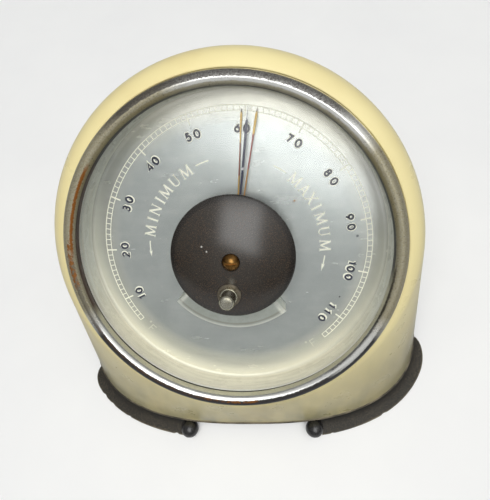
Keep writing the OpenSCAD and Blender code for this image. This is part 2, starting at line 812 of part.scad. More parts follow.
// Movement: a bridge behind the pan with the rear bush, the regulator arm and the bimetal coil
module movement_bridge() color([0.74, 0.62, 0.38]) {
    leg_x = bridge_in / 2;
    at_dial() difference() {
        union() {
            translate([-leg_x - bridge_t, -bridge_w / 2, bridge_back])
                cube([2 * (leg_x + bridge_t), bridge_w, bridge_t]);
            for (s = [0, 1]) mirror([s, 0, 0]) {
                translate([leg_x, -bridge_w / 2, bridge_back]) cube([bridge_t, bridge_w, pan_back - bridge_back]);
                translate([leg_x, -bridge_w / 2, foot_back]) cube([bridge_t + foot_len, bridge_w, bridge_t]);
            }
        }
        disc(rear_bush_r, bridge_back - 1, bridge_face + 1);
        for (s = [-1, 1]) translate([s * stud_x, 0, 0]) disc(stud_r + seat_gap, foot_back - 1, pan_back + 1);
    }
}

module stud_nuts() color([0.70, 0.60, 0.38]) {
    at_dial() for (s = [-1, 1]) translate([s * stud_x, 0, 0]) difference() {
        translate([0, 0, foot_back - stud_nut_t]) cylinder(r = stud_nut_r, h = stud_nut_t, $fn = 6);
        disc(stud_r, foot_back - stud_nut_t - 1, foot_back + 1);
    }
}

module rear_bush() color([0.78, 0.66, 0.40]) {
    at_dial() difference() {
        union() {
            disc(rear_bush_r, bridge_back - peen, bush_face);
            disc(rear_flange_r, arm_top, bush_face);
        }
        disc(arbor_r + run_gap, bridge_back - peen - 1, bush_face + 1);
    }
}

module regulator_arm() color([0.66, 0.66, 0.64]) {
    at_dial() difference() {
        translate([0, 0, bridge_face]) linear_extrude(arm_t) {
            circle(r = rear_flange_r + arm_t);
            translate([-arm_w / 2, 0]) square([arm_w, coil_out_r]);
            translate([0, coil_out_r]) circle(d = arm_w);
            translate([-arm_w / 4, -rear_flange_r - arm_tail]) square([arm_w / 2, rear_flange_r + arm_tail]);
        }
        disc(rear_bush_r, bridge_face - 1, arm_top + 1);
        translate([0, coil_out_r, 0]) disc(coil_stud_r, bridge_face - 1, arm_top + 1);
    }
}

module coil_stud() color([0.74, 0.64, 0.42]) {
    at_dial() translate([0, coil_out_r, 0]) difference() {
        disc(coil_stud_r, bridge_face, coil_top + collet_over);
        translate([-coil_stud_r - 1, -coil_t / 2 - 2 * seat_gap, coil_low - seat_gap])
            cube([2 * coil_stud_r + 2, coil_t + 4 * seat_gap, coil_w + 2]);
    }
}

// Bimetal strip wound in a flat spiral; its outer end is held in the stud's slot
function coil_point(i, side) = let (a = coil_end * i / coil_steps,
    r = coil_in_r + (coil_out_r - coil_in_r) * i / coil_steps + side * coil_t / 2) r * [cos(a), sin(a)];

module bimetal_coil() color([0.62, 0.52, 0.40]) {
    at_dial() rotate([0, 0, 90 - coil_end]) translate([0, 0, coil_low]) linear_extrude(coil_w)
        polygon(concat([for (i = [0:coil_steps]) coil_point(i, 1)],
            [for (i = [coil_steps:-1:0]) coil_point(i, -1)]));
}

// Pillars and strap that draw the dial pan down on to the case's seat
module pan_pillars() color([0.74, 0.64, 0.42]) {
    at_dial() for (s = [-1, 1]) translate([s * pillar_gap / 2, 0, 0]) difference() {
        disc(pillar_r, strap_face, pan_back);
        disc(strap_screw_r, strap_face - 1, strap_face + strap_screw_in + seat_gap);
    }
}

module mounting_strap() color([0.60, 0.60, 0.58]) {
    at_dial() difference() {
        union() {
            translate([-strap_x, -strap_w / 2, strap_back]) cube([2 * strap_x, strap_w, strap_t]);
            for (s = [0, 1]) mirror([s, 0, 0]) translate([strap_x - strap_t, -strap_w / 2, strap_back])
                cube([strap_t, strap_w, seat_low - seat_gap - strap_back]);
        }
        for (s = [-1, 1]) translate([s * pillar_gap / 2, 0, 0])
            disc(strap_screw_r + seat_gap, strap_back - 1, strap_face + 1);
    }
}

module strap_screws() color([0.66, 0.64, 0.60]) {
    at_dial() for (s = [-1, 1]) translate([s * pillar_gap / 2, 0, 0]) difference() {
        union() {
            disc(strap_head_r, strap_back - strap_head_h, strap_back);
            disc(strap_screw_r, strap_back - 1, strap_face + strap_screw_in);
        }
        translate([0, 0, strap_back - strap_head_h]) cube([slot_len, slot_w, 2 * slot_d], center = true);
    }
}

case_shell();
base_moulding();
front_balls();
base_screws();
dial_pan();
crystal_gasket();
crystal();
bezel_ring();
centre_pipe();
pipe_nut();
pointer_washers();
main_pointer();
pointer_arbor();
coil_collet();
minimum_pointer();
maximum_pointer();
crystal_bush();
bush_nut();
reset_dome();
dome_screw();
reset_spindle();
reset_sector();
finger_peg();
peg_washer();
movement_bridge();
stud_nuts();
rear_bush();
regulator_arm();
coil_stud();
bimetal_coil();
pan_pillars();
mounting_strap();
strap_screws();
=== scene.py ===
import math
import bmesh
import bpy
import numpy as np
from mathutils import Matrix, Vector


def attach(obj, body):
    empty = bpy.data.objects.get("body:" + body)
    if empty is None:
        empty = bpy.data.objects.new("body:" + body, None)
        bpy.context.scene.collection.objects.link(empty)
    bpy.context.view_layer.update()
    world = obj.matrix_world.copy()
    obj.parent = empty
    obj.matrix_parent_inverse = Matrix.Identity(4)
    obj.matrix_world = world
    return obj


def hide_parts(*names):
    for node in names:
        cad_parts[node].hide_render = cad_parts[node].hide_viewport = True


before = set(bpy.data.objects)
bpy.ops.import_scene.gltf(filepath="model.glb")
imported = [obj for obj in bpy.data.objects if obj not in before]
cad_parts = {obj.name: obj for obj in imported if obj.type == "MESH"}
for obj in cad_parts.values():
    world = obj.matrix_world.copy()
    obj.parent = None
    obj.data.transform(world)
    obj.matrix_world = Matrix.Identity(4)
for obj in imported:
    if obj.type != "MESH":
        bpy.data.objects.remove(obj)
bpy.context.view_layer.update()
scene = bpy.context.scene
mm = 0.001

# The dial's own frame: x right and y up on the face, z out of it, all in mm from the dial's centre.
dial = {"slope": 37.0, "turn": 7.25, "centre": (0.0, 5.0, 63.6)}
dialMatrix = Matrix.Rotation(math.radians(dial["slope"]), 4, "X") @ Matrix.Rotation(
    math.radians(-dial["turn"]), 4, "Z")
dialTurn = np.array(dialMatrix.to_3x3())
dialCentre = np.array(dial["centre"])


def srgb(red, green, blue):
    channels = np.array([red, green, blue]) / 255
    linear = np.where(channels < 0.04045, channels / 12.92, ((channels + 0.055) / 1.055) ** 2.4)
    return (*[float(c) for c in linear], 1.0)


def fromDial(points):  # dial frame to the object's frame, both in mm
    return np.asarray(points, float) @ dialTurn.T + dialCentre


# meshes from grids

def gridFaces(rows, columns, closeRows, closeColumns):
    # each cell of the grid gives one four-sided face; a closed direction joins its last line to its first
    i = np.arange(rows if closeRows else rows - 1)
    j = np.arange(columns if closeColumns else columns - 1)
    a, b = np.meshgrid(i, j, indexing="ij")
    nextA, nextB = (a + 1) % rows, (b + 1) % columns
    cells = [a * columns + b, nextA * columns + b, nextA * columns + nextB, a * columns + nextB]
    return np.stack(cells, -1).reshape(-1, 4)


def meshOf(name, points, faces, material):
    mesh = bpy.data.meshes.new(name)
    mesh.from_pydata((np.asarray(points, float) * mm).reshape(-1, 3), [], [tuple(f) for f in faces])
    piece = bpy.data.objects.new(name, mesh)
    scene.collection.objects.link(piece)
    mesh.materials.append(material)
    return piece


def smoothBy(piece, sharpAngle):
    piece.data.shade_smooth()
    piece.data.set_sharp_from_angle(angle=math.radians(sharpAngle))


def addMesh(name, points, faces, material, smooth=True):
    piece = meshOf(name, points, faces, material)
    piece.data.validate()
    if smooth:
        smoothBy(piece, 40)
    else:
        piece.data.shade_flat()
    return piece


def mergeAndTurnOut(piece, distance=1e-6, sharpAngle=40):
    work = bmesh.new()
    work.from_mesh(piece.data)
    bmesh.ops.remove_doubles(work, verts=work.verts, dist=distance)
    thin = [f for f in work.faces if f.calc_area() < 1e-14]
    bmesh.ops.delete(work, geom=thin, context="FACES_ONLY")
    bmesh.ops.recalc_face_normals(work, faces=work.faces)
    work.to_mesh(piece.data)
    work.free()
    smoothBy(piece, sharpAngle)
    return piece


def takeAway(piece, bar):
    # a boolean that is applied at once; the bar is deleted
    cut = piece.modifiers.new("cut", "BOOLEAN")
    cut.operation, cut.solver, cut.object = "DIFFERENCE", "EXACT", bar
    graph = bpy.context.evaluated_depsgraph_get()
    old, carved = piece.data, bpy.data.meshes.new_from_object(piece.evaluated_get(graph))
    piece.modifiers.clear()
    piece.data = carved
    bpy.data.meshes.remove(old)
    bpy.data.objects.remove(bar)


def lathe(name, profile, material, steps=192, closed=True, centre=(0.0, 0.0), sharpAngle=40):
    # a profile of (radius, height) points turned about the dial's axis, or a line parallel to it
    profile = np.asarray(profile, float)
    angle = np.linspace(0, 2 * np.pi, steps, endpoint=False)[:, None]
    x = centre[0] + profile[None, :, 0] * np.cos(angle)
    y = centre[1] + profile[None, :, 0] * np.sin(angle)
    z = np.broadcast_to(profile[None, :, 1], x.shape)
    points = fromDial(np.stack([x, y, z], -1))
    piece = addMesh(name, points, gridFaces(steps, len(profile), True, closed), material)
    return mergeAndTurnOut(piece, sharpAngle=sharpAngle)


def arc(centre, radius, start, end, count):  # points on an arc, angles in degrees
    t = np.radians(np.linspace(start, end, count))
    return np.stack([centre[0] + radius * np.cos(t), centre[1] + radius * np.sin(t)], -1)


# materials

bench = {"tree": None}  # the node tree that is being built


def put(kind, sockets=None, **settings):
    tree = bench["tree"]
    node = tree.nodes.new(kind)
    for key, value in settings.items():
        setattr(node, key, value)
    for key, value in (sockets or {}).items():
        if isinstance(value, bpy.types.NodeSocket):
            tree.links.new(value, node.inputs[key])
        else:
            node.inputs[key].default_value = value
    return node


def newMaterial(name, **sockets):
    material = bpy.data.materials.new(name)
    material.use_nodes = True
    bench["tree"] = material.node_tree
    material.node_tree.nodes.clear()
    shader = put("ShaderNodeBsdfPrincipled", sockets)
    put("ShaderNodeOutputMaterial", {"Surface": shader.outputs[0]})
    where = put("ShaderNodeTexCoord").outputs["Object"]
    return material, shader, where


def wire(node, values):
    for key, value in values.items():
        bench["tree"].links.new(value, node.inputs[key])


def noise(where, size, detail=3.0, roughness=0.55, stretch=None, distortion=0.0):
    # size is the width of one blot in mm
    if stretch is not None:
        where = put("ShaderNodeMapping", {"Vector": where, "Scale": stretch}).outputs[0]
    return put("ShaderNodeTexNoise", {"Vector": where, "Scale": 1000.0 / size, "Detail": detail,
                                      "Roughness": roughness, "Distortion": distortion}).outputs["Fac"]


def ramp(value, stops):
    node = put("ShaderNodeValToRGB", {"Fac": value})
    elements = node.color_ramp.elements
    while len(elements) < len(stops):
        elements.new(0.5)
    for element, (place, colour) in zip(elements, stops):
        element.position = place
        element.color = colour if hasattr(colour, "__len__") else (colour, colour, colour, 1.0)
    return node.outputs["Color"]


def blendColour(amount, first, second):
    return put("ShaderNodeMix", {0: amount, 6: first, 7: second}, data_type="RGBA").outputs[2]


def maths(kind, first, second=0.0, third=0.5):
    return put("ShaderNodeMath", {0: first, 1: second, 2: third}, operation=kind).outputs[0]


def times(first, second):
    return maths("MULTIPLY", first, second)


def plus(first, second):
    return maths("ADD", first, second)


def larger(first, second):
    return maths("MAXIMUM", first, second)


def spread(value, low, high, toLow=0.0, toHigh=1.0):
    return put("ShaderNodeMapRange", {"Value": value, "From Min": low, "From Max": high,
                                      "To Min": toLow, "To Max": toHigh}).outputs["Result"]


def bump(height, strength, distance):
    return put("ShaderNodeBump", {"Height": height, "Strength": strength, "Distance": distance}).outputs[0]


def dialPlace(where):
    # Object coordinates in the dial's frame: the place, its radius in mm, its clock angle and its height
    place = put("ShaderNodeMapping", {"Vector": where, "Location": tuple(dialCentre * mm),
                                      "Rotation": dialMatrix.to_euler()}, vector_type="TEXTURE").outputs[0]
    parts = put("ShaderNodeSeparateXYZ", {0: place})
    flat = put("ShaderNodeCombineXYZ", {0: parts.outputs[0], 1: parts.outputs[1], 2: 0.0}).outputs[0]
    length = put("ShaderNodeVectorMath", {0: flat}, operation="LENGTH").outputs["Value"]
    radius = times(length, 1000.0)
    angle = maths("ARCTAN2", parts.outputs[0], parts.outputs[1])
    return place, radius, angle, times(parts.outputs[2], 1000.0)


def plainFinish(name, colour, roughness, mottle=0.12, metallic=1.0):
    # hidden metalwork: a base colour with slow tarnish, fine scratches in the roughness and a light bump
    colour = srgb(*colour)
    material, shader, where = newMaterial(name, Metallic=metallic)
    slow = noise(where, 3.0, 4)
    fine = noise(where, 0.35, 2, 0.6, (1.0, 1.0, 6.0))
    dark = tuple(c * (1 - 2.4 * mottle) for c in colour[:3]) + (1.0,)
    tone = blendColour(spread(slow, 0.35, 0.7), dark, colour)
    wire(shader, {
        "Base Color": tone,
        "Roughness": spread(fine, 0.3, 0.7, roughness * 0.7, roughness * 1.3),
        "Normal": bump(fine, 0.15, 0.00002)})
    return material


# cream lacquer: slightly yellowed, greyer low down in faint streaks, partly dust and partly painted shade,
# with painted shade on the lower flanks and a fine orange-peel surface
lacquer = {"cream": srgb(236, 223, 168), "deep": srgb(222, 205, 148), "dustAndPaintedLight": srgb(128, 128, 108),
           "roughness": 0.30, "peel": 0.05}


def creamLacquer():
    material, shader, where = newMaterial("creamLacquer", **{
        "Specular IOR Level": 0.35, "Coat Weight": 0.15, "Coat Roughness": 0.12})
    parts = put("ShaderNodeSeparateXYZ", {0: where})
    height = parts.outputs[2]
    slow = noise(where, 46.0, 3, 0.5)
    tone = blendColour(spread(slow, 0.35, 0.68, 0.0, 0.55), lacquer["cream"], lacquer["deep"])
    # painted shade, with some dust: greyer towards the bottom, broken into faint streaks
    low = spread(height, 0.052, 0.006, 0.0, 0.8)
    streak = noise(where, 9.0, 2, 0.5, (1.0, 1.0, 0.12))
    dustAndLowShade = times(low, spread(streak, 0.35, 0.75, 0.25, 1.0))
    tone = blendColour(dustAndLowShade, tone, lacquer["dustAndPaintedLight"])
    # painted shade: the lower flanks, turned away from the light, go darker olive grey
    paintedFlankShade = times(spread(maths("ABSOLUTE", parts.outputs[0]), 0.03, 0.066),
                  spread(height, 0.055, 0.012, 0.0, 0.6))
    tone = blendColour(paintedFlankShade, tone, srgb(116, 112, 88))
    ochre = noise(where, 17.0, 2, 0.5, (1.0, 1.0, 0.4))
    tone = blendColour(spread(ochre, 0.55, 0.78, 0.0, 0.22), tone, srgb(196, 170, 104))
    wear, peel = noise(where, 14.0, 4, 0.6), noise(where, 1.6, 2, 0.5)
    wire(shader, {
        "Base Color": tone,
        "Roughness": spread(wear, 0.3, 0.7, lacquer["roughness"] - 0.06, lacquer["roughness"] + 0.12),
        "Normal": bump(peel, lacquer["peel"], 0.0001)})
    return material


# moulded base: charcoal, with brown dust in the hollow and on the lip, partly painted light, painted shade in
# the hollow under the case, and painted highlights along the lip's edge and the plate's rim
moulding = {"black": srgb(22, 20, 20), "charcoal": srgb(30, 28, 25), "brown": srgb(88, 80, 64),
            "edge": srgb(146, 136, 112)}


def darkMoulding():
    material, shader, where = newMaterial("darkMoulding", **{"Specular IOR Level": 0.4})
    grain = noise(where, 0.4, 4, 0.8)
    slow = noise(where, 9.0, 4, 0.6)
    height = times(put("ShaderNodeSeparateXYZ", {0: where}).outputs[2], 1000.0)
    # painted shade: black in the hollow under the case; brown dust speckled on the hollow's flat, partly
    # painted light where it faces up; a painted highlight on the lip's edge
    flat = times(spread(height, 3.2, 1.3), spread(slow, 0.3, 0.62, 0.55, 1.0))
    dustAndPaintedLight = times(flat, spread(grain, 0.48, 0.62, 0.05, 1.0))
    tone = blendColour(dustAndPaintedLight, moulding["charcoal"], moulding["brown"])
    # painted shade: black in the hollow just under the case
    tone = blendColour(spread(height, 2.6, 4.4, 0.0, 0.8), tone, moulding["black"])
    # painted highlights: a pale line along the lip's edge, and one along the plate's rim bead
    edge = put("ShaderNodeAttribute", attribute_name="lip").outputs["Fac"]
    lip = times(spread(edge, 0.25, 0.9), spread(slow, 0.36, 0.58, 0.15, 0.8))
    tone = blendColour(times(lip, spread(grain, 0.35, 0.6, 0.5, 1.0)), tone, moulding["edge"])
    rim = times(spread(height, 6.1, 6.35), spread(slow, 0.4, 0.62, 0.1, 0.6))
    tone = blendColour(rim, tone, moulding["edge"])
    wire(shader, {
        "Base Color": tone,
        "Roughness": spread(grain, 0.3, 0.7, 0.42, 0.7),
        "Normal": bump(grain, 0.6, 0.00015)})
    return material


def glossBlack():
    material, shader, where = newMaterial("glossBlack", **{"Coat Weight": 0.5, "Coat Roughness": 0.1})
    scuff = noise(where, 1.0, 4, 0.65)
    tone = ramp(scuff, [(0.35, srgb(20, 20, 22)), (0.62, srgb(36, 35, 35)), (0.8, srgb(80, 76, 68))])
    wire(shader, {
        "Base Color": tone,
        "Roughness": spread(scuff, 0.3, 0.7, 0.2, 0.45),
        "Normal": bump(scuff, 0.25, 0.00006)})
    return material


# bezel plate: worn chrome in bands by radius, each kept to its own clock angles. Grey-beige at both sides,
# painted dark reflections outside the crest above and below, a dirty inner edge, fine pits everywhere and
# rust in a few places
plating = {"chrome": srgb(238, 238, 234), "beige": srgb(136, 127, 94), "face": srgb(206, 200, 174),
           "dull": srgb(74, 70, 66), "sootAndDarkReflection": srgb(36, 30, 28), "black": srgb(34, 33, 37),
           "rust": srgb(134, 80, 22), "redRust": srgb(74, 50, 40), "pit": srgb(30, 26, 26)}


def clockWindow(angle, start, end, soft=8.0):
    # 1 between two clock angles in degrees, falling off over the soft angle on both sides
    middle, half = math.radians((start + end) / 2), math.radians((end - start) / 2)
    turned = maths("WRAP", maths("SUBTRACT", angle, middle), math.pi, -math.pi)
    return spread(maths("ABSOLUTE", turned), half + math.radians(soft), half)


def oldNickel():
    material, shader, where = newMaterial("oldNickel")
    _, radius, angle, height = dialPlace(where)
    grain = noise(where, 0.42, 4, 0.7)
    slow = noise(where, 8.0, 4, 0.6)
    ragged = plus(radius, spread(noise(where, 0.9, 4, 0.75), 0.3, 0.7, -0.22, 0.22))

    def band(low, high, soft=0.12):
        return times(spread(ragged, low - soft, low + soft), spread(ragged, high + soft, high - soft))

    def patch(start, end, soft, low, high, amount=1.0):
        return times(times(clockWindow(angle, start, end, soft), band(low, high)), amount)

    tone, cover = plating["chrome"], None
    sides = larger(clockWindow(angle, 48, 106, 10), clockWindow(angle, 246, 334, 10))
    layers = [(times(sides, spread(grain, 0.3, 0.65, 0.75, 0.95)), "beige"),
              (patch(-70, 70, 15, 53.7, 54.7, 0.8), "beige"),
              # painted dark reflections of the surroundings: the dull band outside the crest above, and the
              # soot and black bands outside it below; the other soot marks are dirt
              (times(patch(-40, 30, 12, 55.9, 60), spread(grain, 0.35, 0.6, 0.7, 1.0)), "dull"),
              (patch(138, 234, 10, 55.1, 56.1, 0.97), "sootAndDarkReflection"), (patch(116, 234, 9, 55.95, 60, 0.97), "black"),
              (patch(238, 262, 6, 54.6, 56.0, 0.6), "sootAndDarkReflection"), (patch(96, 244, 8, 53.86, 54.02, 0.85), "sootAndDarkReflection"),
              (patch(90, 134, 5, 53.9, 54.3, 0.8), "sootAndDarkReflection")]
    face = times(spread(radius, 53.95, 53.86), spread(height, 15.3, 15.1))
    layers += [(face, "face"), (times(face, clockWindow(angle, -64, 88, 10)), "sootAndDarkReflection"),
               (times(face, clockWindow(angle, 246, 298, 6)), "redRust")]
    blot = ramp(noise(where, 1.3, 4, 0.75, None, 0.6), [(0.44, 0.0), (0.54, 1.0)])
    rust = larger(patch(269, 297, 4, 54.35, 55.15),
                  times(blot, larger(patch(256, 271, 3, 54.6, 56.2),
                                     larger(patch(168, 186, 3, 55.1, 56.0),
                                            patch(186, 236, 8, 55.0, 56.0, 0.2)))))
    layers.append((rust, "rust"))
    pits = ramp(noise(where, 0.5, 3, 0.7), [(0.58, 0.0), (0.64, 1.0)])
    layers.append((times(pits, spread(slow, 0.35, 0.62, 0.15, 0.7)), "pit"))
    for amount, colour in layers:
        tone = blendColour(amount, tone, plating[colour])
        cover = amount if cover is None else larger(cover, amount)
    wire(shader, {
        "Base Color": tone,
        "Roughness": plus(spread(grain, 0.3, 0.7, 0.10, 0.20), times(cover, 0.3)),
        "Metallic": spread(cover, 0.0, 1.0, 0.72, 0.45),
        "Normal": bump(maths("SUBTRACT", grain, cover), 0.12, 0.00006)})
    return material


# dial face: satin silvered metal with faint mottling, specks and a few rust spots
face = {"silver": srgb(187, 193, 191), "dull": srgb(171, 177, 176), "warm": srgb(240, 237, 216),
        "spots": ((19.6, 19.2, 0.75, srgb(150, 96, 40)), (40.6, 12.6, 0.55, srgb(52, 54, 66)),
                  (43.6, 8.4, 0.9, srgb(62, 64, 76)), (40.5, -15.8, 0.5, srgb(30, 32, 52)))}


def dialSilver():
    material, shader, where = newMaterial("dialSilver", Metallic=0.6)
    place, radius, _, _ = dialPlace(where)
    slow = noise(where, 11.0, 5, 0.62)
    fine = noise(where, 0.7, 4, 0.7)
    # light rubbing marks run one way across the satin
    rubbed = noise(where, 2.2, 3, 0.6, (0.18, 1.0, 1.0))
    tone = blendColour(spread(slow, 0.34, 0.68), face["silver"], face["dull"])
    tone = blendColour(spread(rubbed, 0.5, 0.75, 0.0, 0.3), tone, srgb(206, 210, 204))
    tone = blendColour(spread(fine, 0.5, 0.75, 0.0, 0.25), tone, srgb(206, 210, 206))
    pale = ramp(noise(where, 1.5, 3, 0.6), [(0.66, 0.0), (0.74, 1.0)])
    tone = blendColour(times(pale, 0.4), tone, srgb(226, 228, 218))
    # painted reflection of the cream wall in the satin near it, most of all low down, and painted glare near
    # the top edge
    up = put("ShaderNodeSeparateXYZ", {0: place}).outputs[1]
    low = larger(spread(up, 0.02, -0.042, 0.25, 1.0), spread(up, 0.022, 0.046, 0.0, 0.8))
    paintedReflectionAndGlare = times(spread(radius, 43.5, 54.5), low)
    tone = blendColour(paintedReflectionAndGlare, tone, face["warm"])
    for x, y, size, colour in face["spots"]:
        away = put("ShaderNodeVectorMath", {0: place, 1: (x * mm, y * mm, 0.0)}, operation="DISTANCE")
        ragged = plus(away.outputs["Value"], times(fine, 0.0004))
        spot = spread(ragged, (size * 0.62 + 0.2) * mm, (size * 0.38 + 0.2) * mm)
        tone = blendColour(spot, tone, colour)
    wire(shader, {
        "Base Color": tone,
        "Roughness": plus(spread(slow, 0.3, 0.7, 0.19, 0.25), spread(rubbed, 0.4, 0.7, 0.0, 0.05)),
        "Metallic": spread(paintedReflectionAndGlare, 0.0, 1.0, 0.6, 0.1),
        "Normal": bump(fine, 0.10, 0.00003)})
    return material


def panWall():
    # neutral white wall, cream below the dial, a little streaked round it, with a painted highlight along its
    # top edge
    material, shader, where = newMaterial("panWall", **{"Coat Weight": 0.4, "Coat Roughness": 0.15})
    _, _, angle, height = dialPlace(where)
    slow = noise(where, 7.0, 4, 0.6)
    streak = noise(put("ShaderNodeCombineXYZ", {0: times(angle, 0.004), 1: times(height, 0.001),
                                                2: 0.0}).outputs[0], 1.2, 3, 0.6)
    under = clockWindow(angle, 130, 230, 30)
    tone = blendColour(spread(slow, 0.35, 0.7), srgb(236, 239, 232), srgb(218, 222, 214))
    tone = blendColour(under, tone, srgb(246, 241, 220))
    tone = blendColour(spread(streak, 0.4, 0.7, 0.0, 0.5), tone, srgb(208, 203, 180))
    # painted highlight along the top edge
    tone = blendColour(spread(height, 8.7, 9.3), tone, srgb(252, 250, 240))
    wire(shader, {
        "Base Color": tone,
        "Roughness": spread(slow, 0.3, 0.7, 0.22, 0.34),
        "Normal": bump(noise(where, 0.8, 3), 0.05, 0.00004)})
    return material


def printedInk(name, colour, worn, amount):
    material, shader, where = newMaterial(name, **{"Specular IOR Level": 0.3})
    patch = noise(where, 1.3, 4, 0.65)
    tone = blendColour(spread(patch, 0.45, 0.75, 0.0, amount), colour, worn)
    wire(shader, {
        "Base Color": tone,
        "Roughness": spread(patch, 0.3, 0.7, 0.45, 0.62),
        "Normal": bump(noise(where, 0.3, 2), 0.15, 0.00002)})
    return material


def clearGlass():
    # a flat pane: its coat mirrors the room, and light goes straight through
    material, shader, where = newMaterial("clearGlass", **{
        "Base Color": (0.985, 0.985, 0.98, 1.0), "Roughness": 0.0, "IOR": 1.01, "Transmission Weight": 1.0,
        "Coat Weight": 0.6, "Coat IOR": 1.5, "Coat Roughness": 0.0})
    clear = put("ShaderNodeBsdfTransparent", {"Color": (0.965, 0.965, 0.96, 1.0)}).outputs[0]
    rays = put("ShaderNodeLightPath")
    through = larger(rays.outputs["Is Shadow Ray"], rays.outputs["Is Diffuse Ray"])
    mixed = put("ShaderNodeMixShader", {0: through, 1: shader.outputs[0], 2: clear}).outputs[0]
    smear = noise(where, 24.0, 3, 0.5)
    wire(shader, {"Coat Normal": bump(smear, 0.02, 0.0001)})
    wire(material.node_tree.nodes["Material Output"], {"Surface": mixed})
    return material


# reset dome: charcoal moulding with brown specks, two pale chips and a darker rim
domeLook = {"charcoal": srgb(46, 42, 37), "speck": srgb(84, 64, 46), "rim": srgb(26, 23, 20),
            "chips": ((-10.0, 4.2, 0.36), (-8.2, 2.8, 0.34))}


def domePlastic():
    material, shader, where = newMaterial("domePlastic", **{"Specular IOR Level": 0.7})
    place, radius, _, _ = dialPlace(where)
    fine = noise(where, 0.3, 2, 0.6)
    slow = noise(where, 7.0, 4, 0.6)
    tone = blendColour(spread(slow, 0.35, 0.68), domeLook["charcoal"], srgb(34, 31, 27))
    specks = ramp(fine, [(0.52, 0.0), (0.64, 1.0)])
    amount = times(specks, spread(slow, 0.32, 0.62, 0.2, 0.8))
    tone = blendColour(amount, tone, domeLook["speck"])
    tone = blendColour(spread(radius, 19.2, 20.2, 0.0, 0.8), tone, domeLook["rim"])
    for x, y, size in domeLook["chips"]:
        flat = put("ShaderNodeVectorMath", {0: place, 1: (1.0, 1.0, 0.0)}, operation="MULTIPLY").outputs[0]
        away = put("ShaderNodeVectorMath", {0: flat, 1: (x * mm, y * mm, 0.0)}, operation="DISTANCE")
        chip = spread(away.outputs["Value"], size * mm, size * 0.7 * mm)
        tone = blendColour(chip, tone, srgb(176, 174, 168))
    wire(shader, {
        "Base Color": tone,
        "Roughness": spread(fine, 0.3, 0.7, 0.18, 0.3),
        "Normal": bump(fine, 0.2, 0.00004)})
    return material


def sectorMetal():
    # the dial's silver, with painted highlights along its rim and on the two end flaps, and a dull line
    # inside the rim
    material, shader, where = newMaterial("sectorGrey", Metallic=0.55)
    _, radius, angle, _ = dialPlace(where)
    slow = noise(where, 5.0, 4, 0.6)
    tone = blendColour(spread(slow, 0.35, 0.65), srgb(182, 188, 182), srgb(166, 171, 163))
    line = times(spread(radius, 26.9, 27.2), spread(radius, 27.9, 27.6))
    tone = blendColour(times(line, 0.6), tone, srgb(136, 136, 120))
    # painted highlights on the two end flaps and along the rim
    ends = larger(clockWindow(angle, 223, 240, 2), clockWindow(angle, 120, 138, 2))
    pale = larger(times(ends, spread(slow, 0.35, 0.55, 0.3, 0.9)), spread(radius, 28.0, 28.3, 0.0, 0.45))
    tone = blendColour(pale, tone, srgb(232, 233, 222))
    wire(shader, {
        "Base Color": tone,
        "Metallic": spread(pale, 0.0, 1.0, 0.55, 0.15),
        "Roughness": spread(slow, 0.3, 0.7, 0.3, 0.4),
        "Normal": bump(noise(where, 0.6, 3), 0.12, 0.00004)})
    return material


def turnedMetal(name, colour, dark, roughness, metallic=1.0, pits=0.5):
    material, shader, where = newMaterial(name, Metallic=metallic)
    fine = noise(where, 0.45, 4, 0.7)
    slow = noise(where, 2.2, 4, 0.65)
    tone = blendColour(spread(slow, 0.4, 0.62, 0.0, pits), colour, dark)
    tone = blendColour(times(ramp(fine, [(0.58, 0.0), (0.68, 1.0)]), pits), tone, dark)
    wire(shader, {
        "Base Color": tone,
        "Roughness": spread(fine, 0.3, 0.7, roughness * 0.7, roughness * 1.5),
        "Normal": bump(fine, 0.2, 0.00004)})
    return material


def pointerPaint(name, stops):
    # colour runs along the pointer: each stop is (distance from the dial's axis in mm, colour)
    material, shader, where = newMaterial(name, **{"Specular IOR Level": 0.3})
    _, radius, _, _ = dialPlace(where)
    patch = noise(where, 1.4, 3, 0.6)
    along = plus(radius, spread(patch, 0.3, 0.7, -0.3, 0.3))
    tone = stops[0][1]
    for start, colour in stops[1:]:
        tone = blendColour(spread(along, start - 0.2, start + 0.2), tone, colour)
    wire(shader, {
        "Base Color": tone,
        "Roughness": spread(patch, 0.3, 0.7, 0.35, 0.5),
        "Normal": bump(patch, 0.1, 0.00003)})
    return material


cream = creamLacquer()
baseFinish = darkMoulding()
ballBlack = glossBlack()
nickel = oldNickel()
silver = dialSilver()
wallMetal = panWall()
creamInk = printedInk("creamInk", srgb(248, 248, 232), srgb(214, 217, 206), 0.4)
faintInk = printedInk("faintInk", srgb(206, 206, 190), srgb(178, 184, 180), 0.8)
navyInk = printedInk("navyInk", srgb(14, 18, 46), srgb(44, 50, 78), 0.5)
glassPane = clearGlass()
charcoal = domePlastic()
brass = turnedMetal("wornBrass", srgb(150, 112, 62), srgb(58, 36, 18), 0.26)
pegSteel = turnedMetal("pegSteel", srgb(206, 204, 190), srgb(120, 110, 78), 0.22)
washerSteel = turnedMetal("washerSteel", srgb(120, 112, 98), srgb(54, 46, 36), 0.4, 0.85)
sectorGrey = sectorMetal()
navyPaint = pointerPaint("navyEnamel", ((0, srgb(26, 30, 58)), (28.8, srgb(206, 206, 210)),
                                        (29.4, srgb(24, 28, 56)), (45.0, srgb(112, 116, 128))))
giltPaint = pointerPaint("giltPointer", ((0, srgb(176, 140, 62)), (26.5, srgb(132, 72, 50)),
                                         (37.5, srgb(200, 164, 66)), (47.4, srgb(70, 44, 40))))
redPaint = pointerPaint("redPointer", ((0, srgb(168, 124, 66)), (29.0, srgb(140, 58, 48)),
                                       (40.8, srgb(204, 168, 66)), (47.9, srgb(70, 44, 40))))
print("stage: materials made")


# case: one lacquered skin from the rounded ring to the base's outline

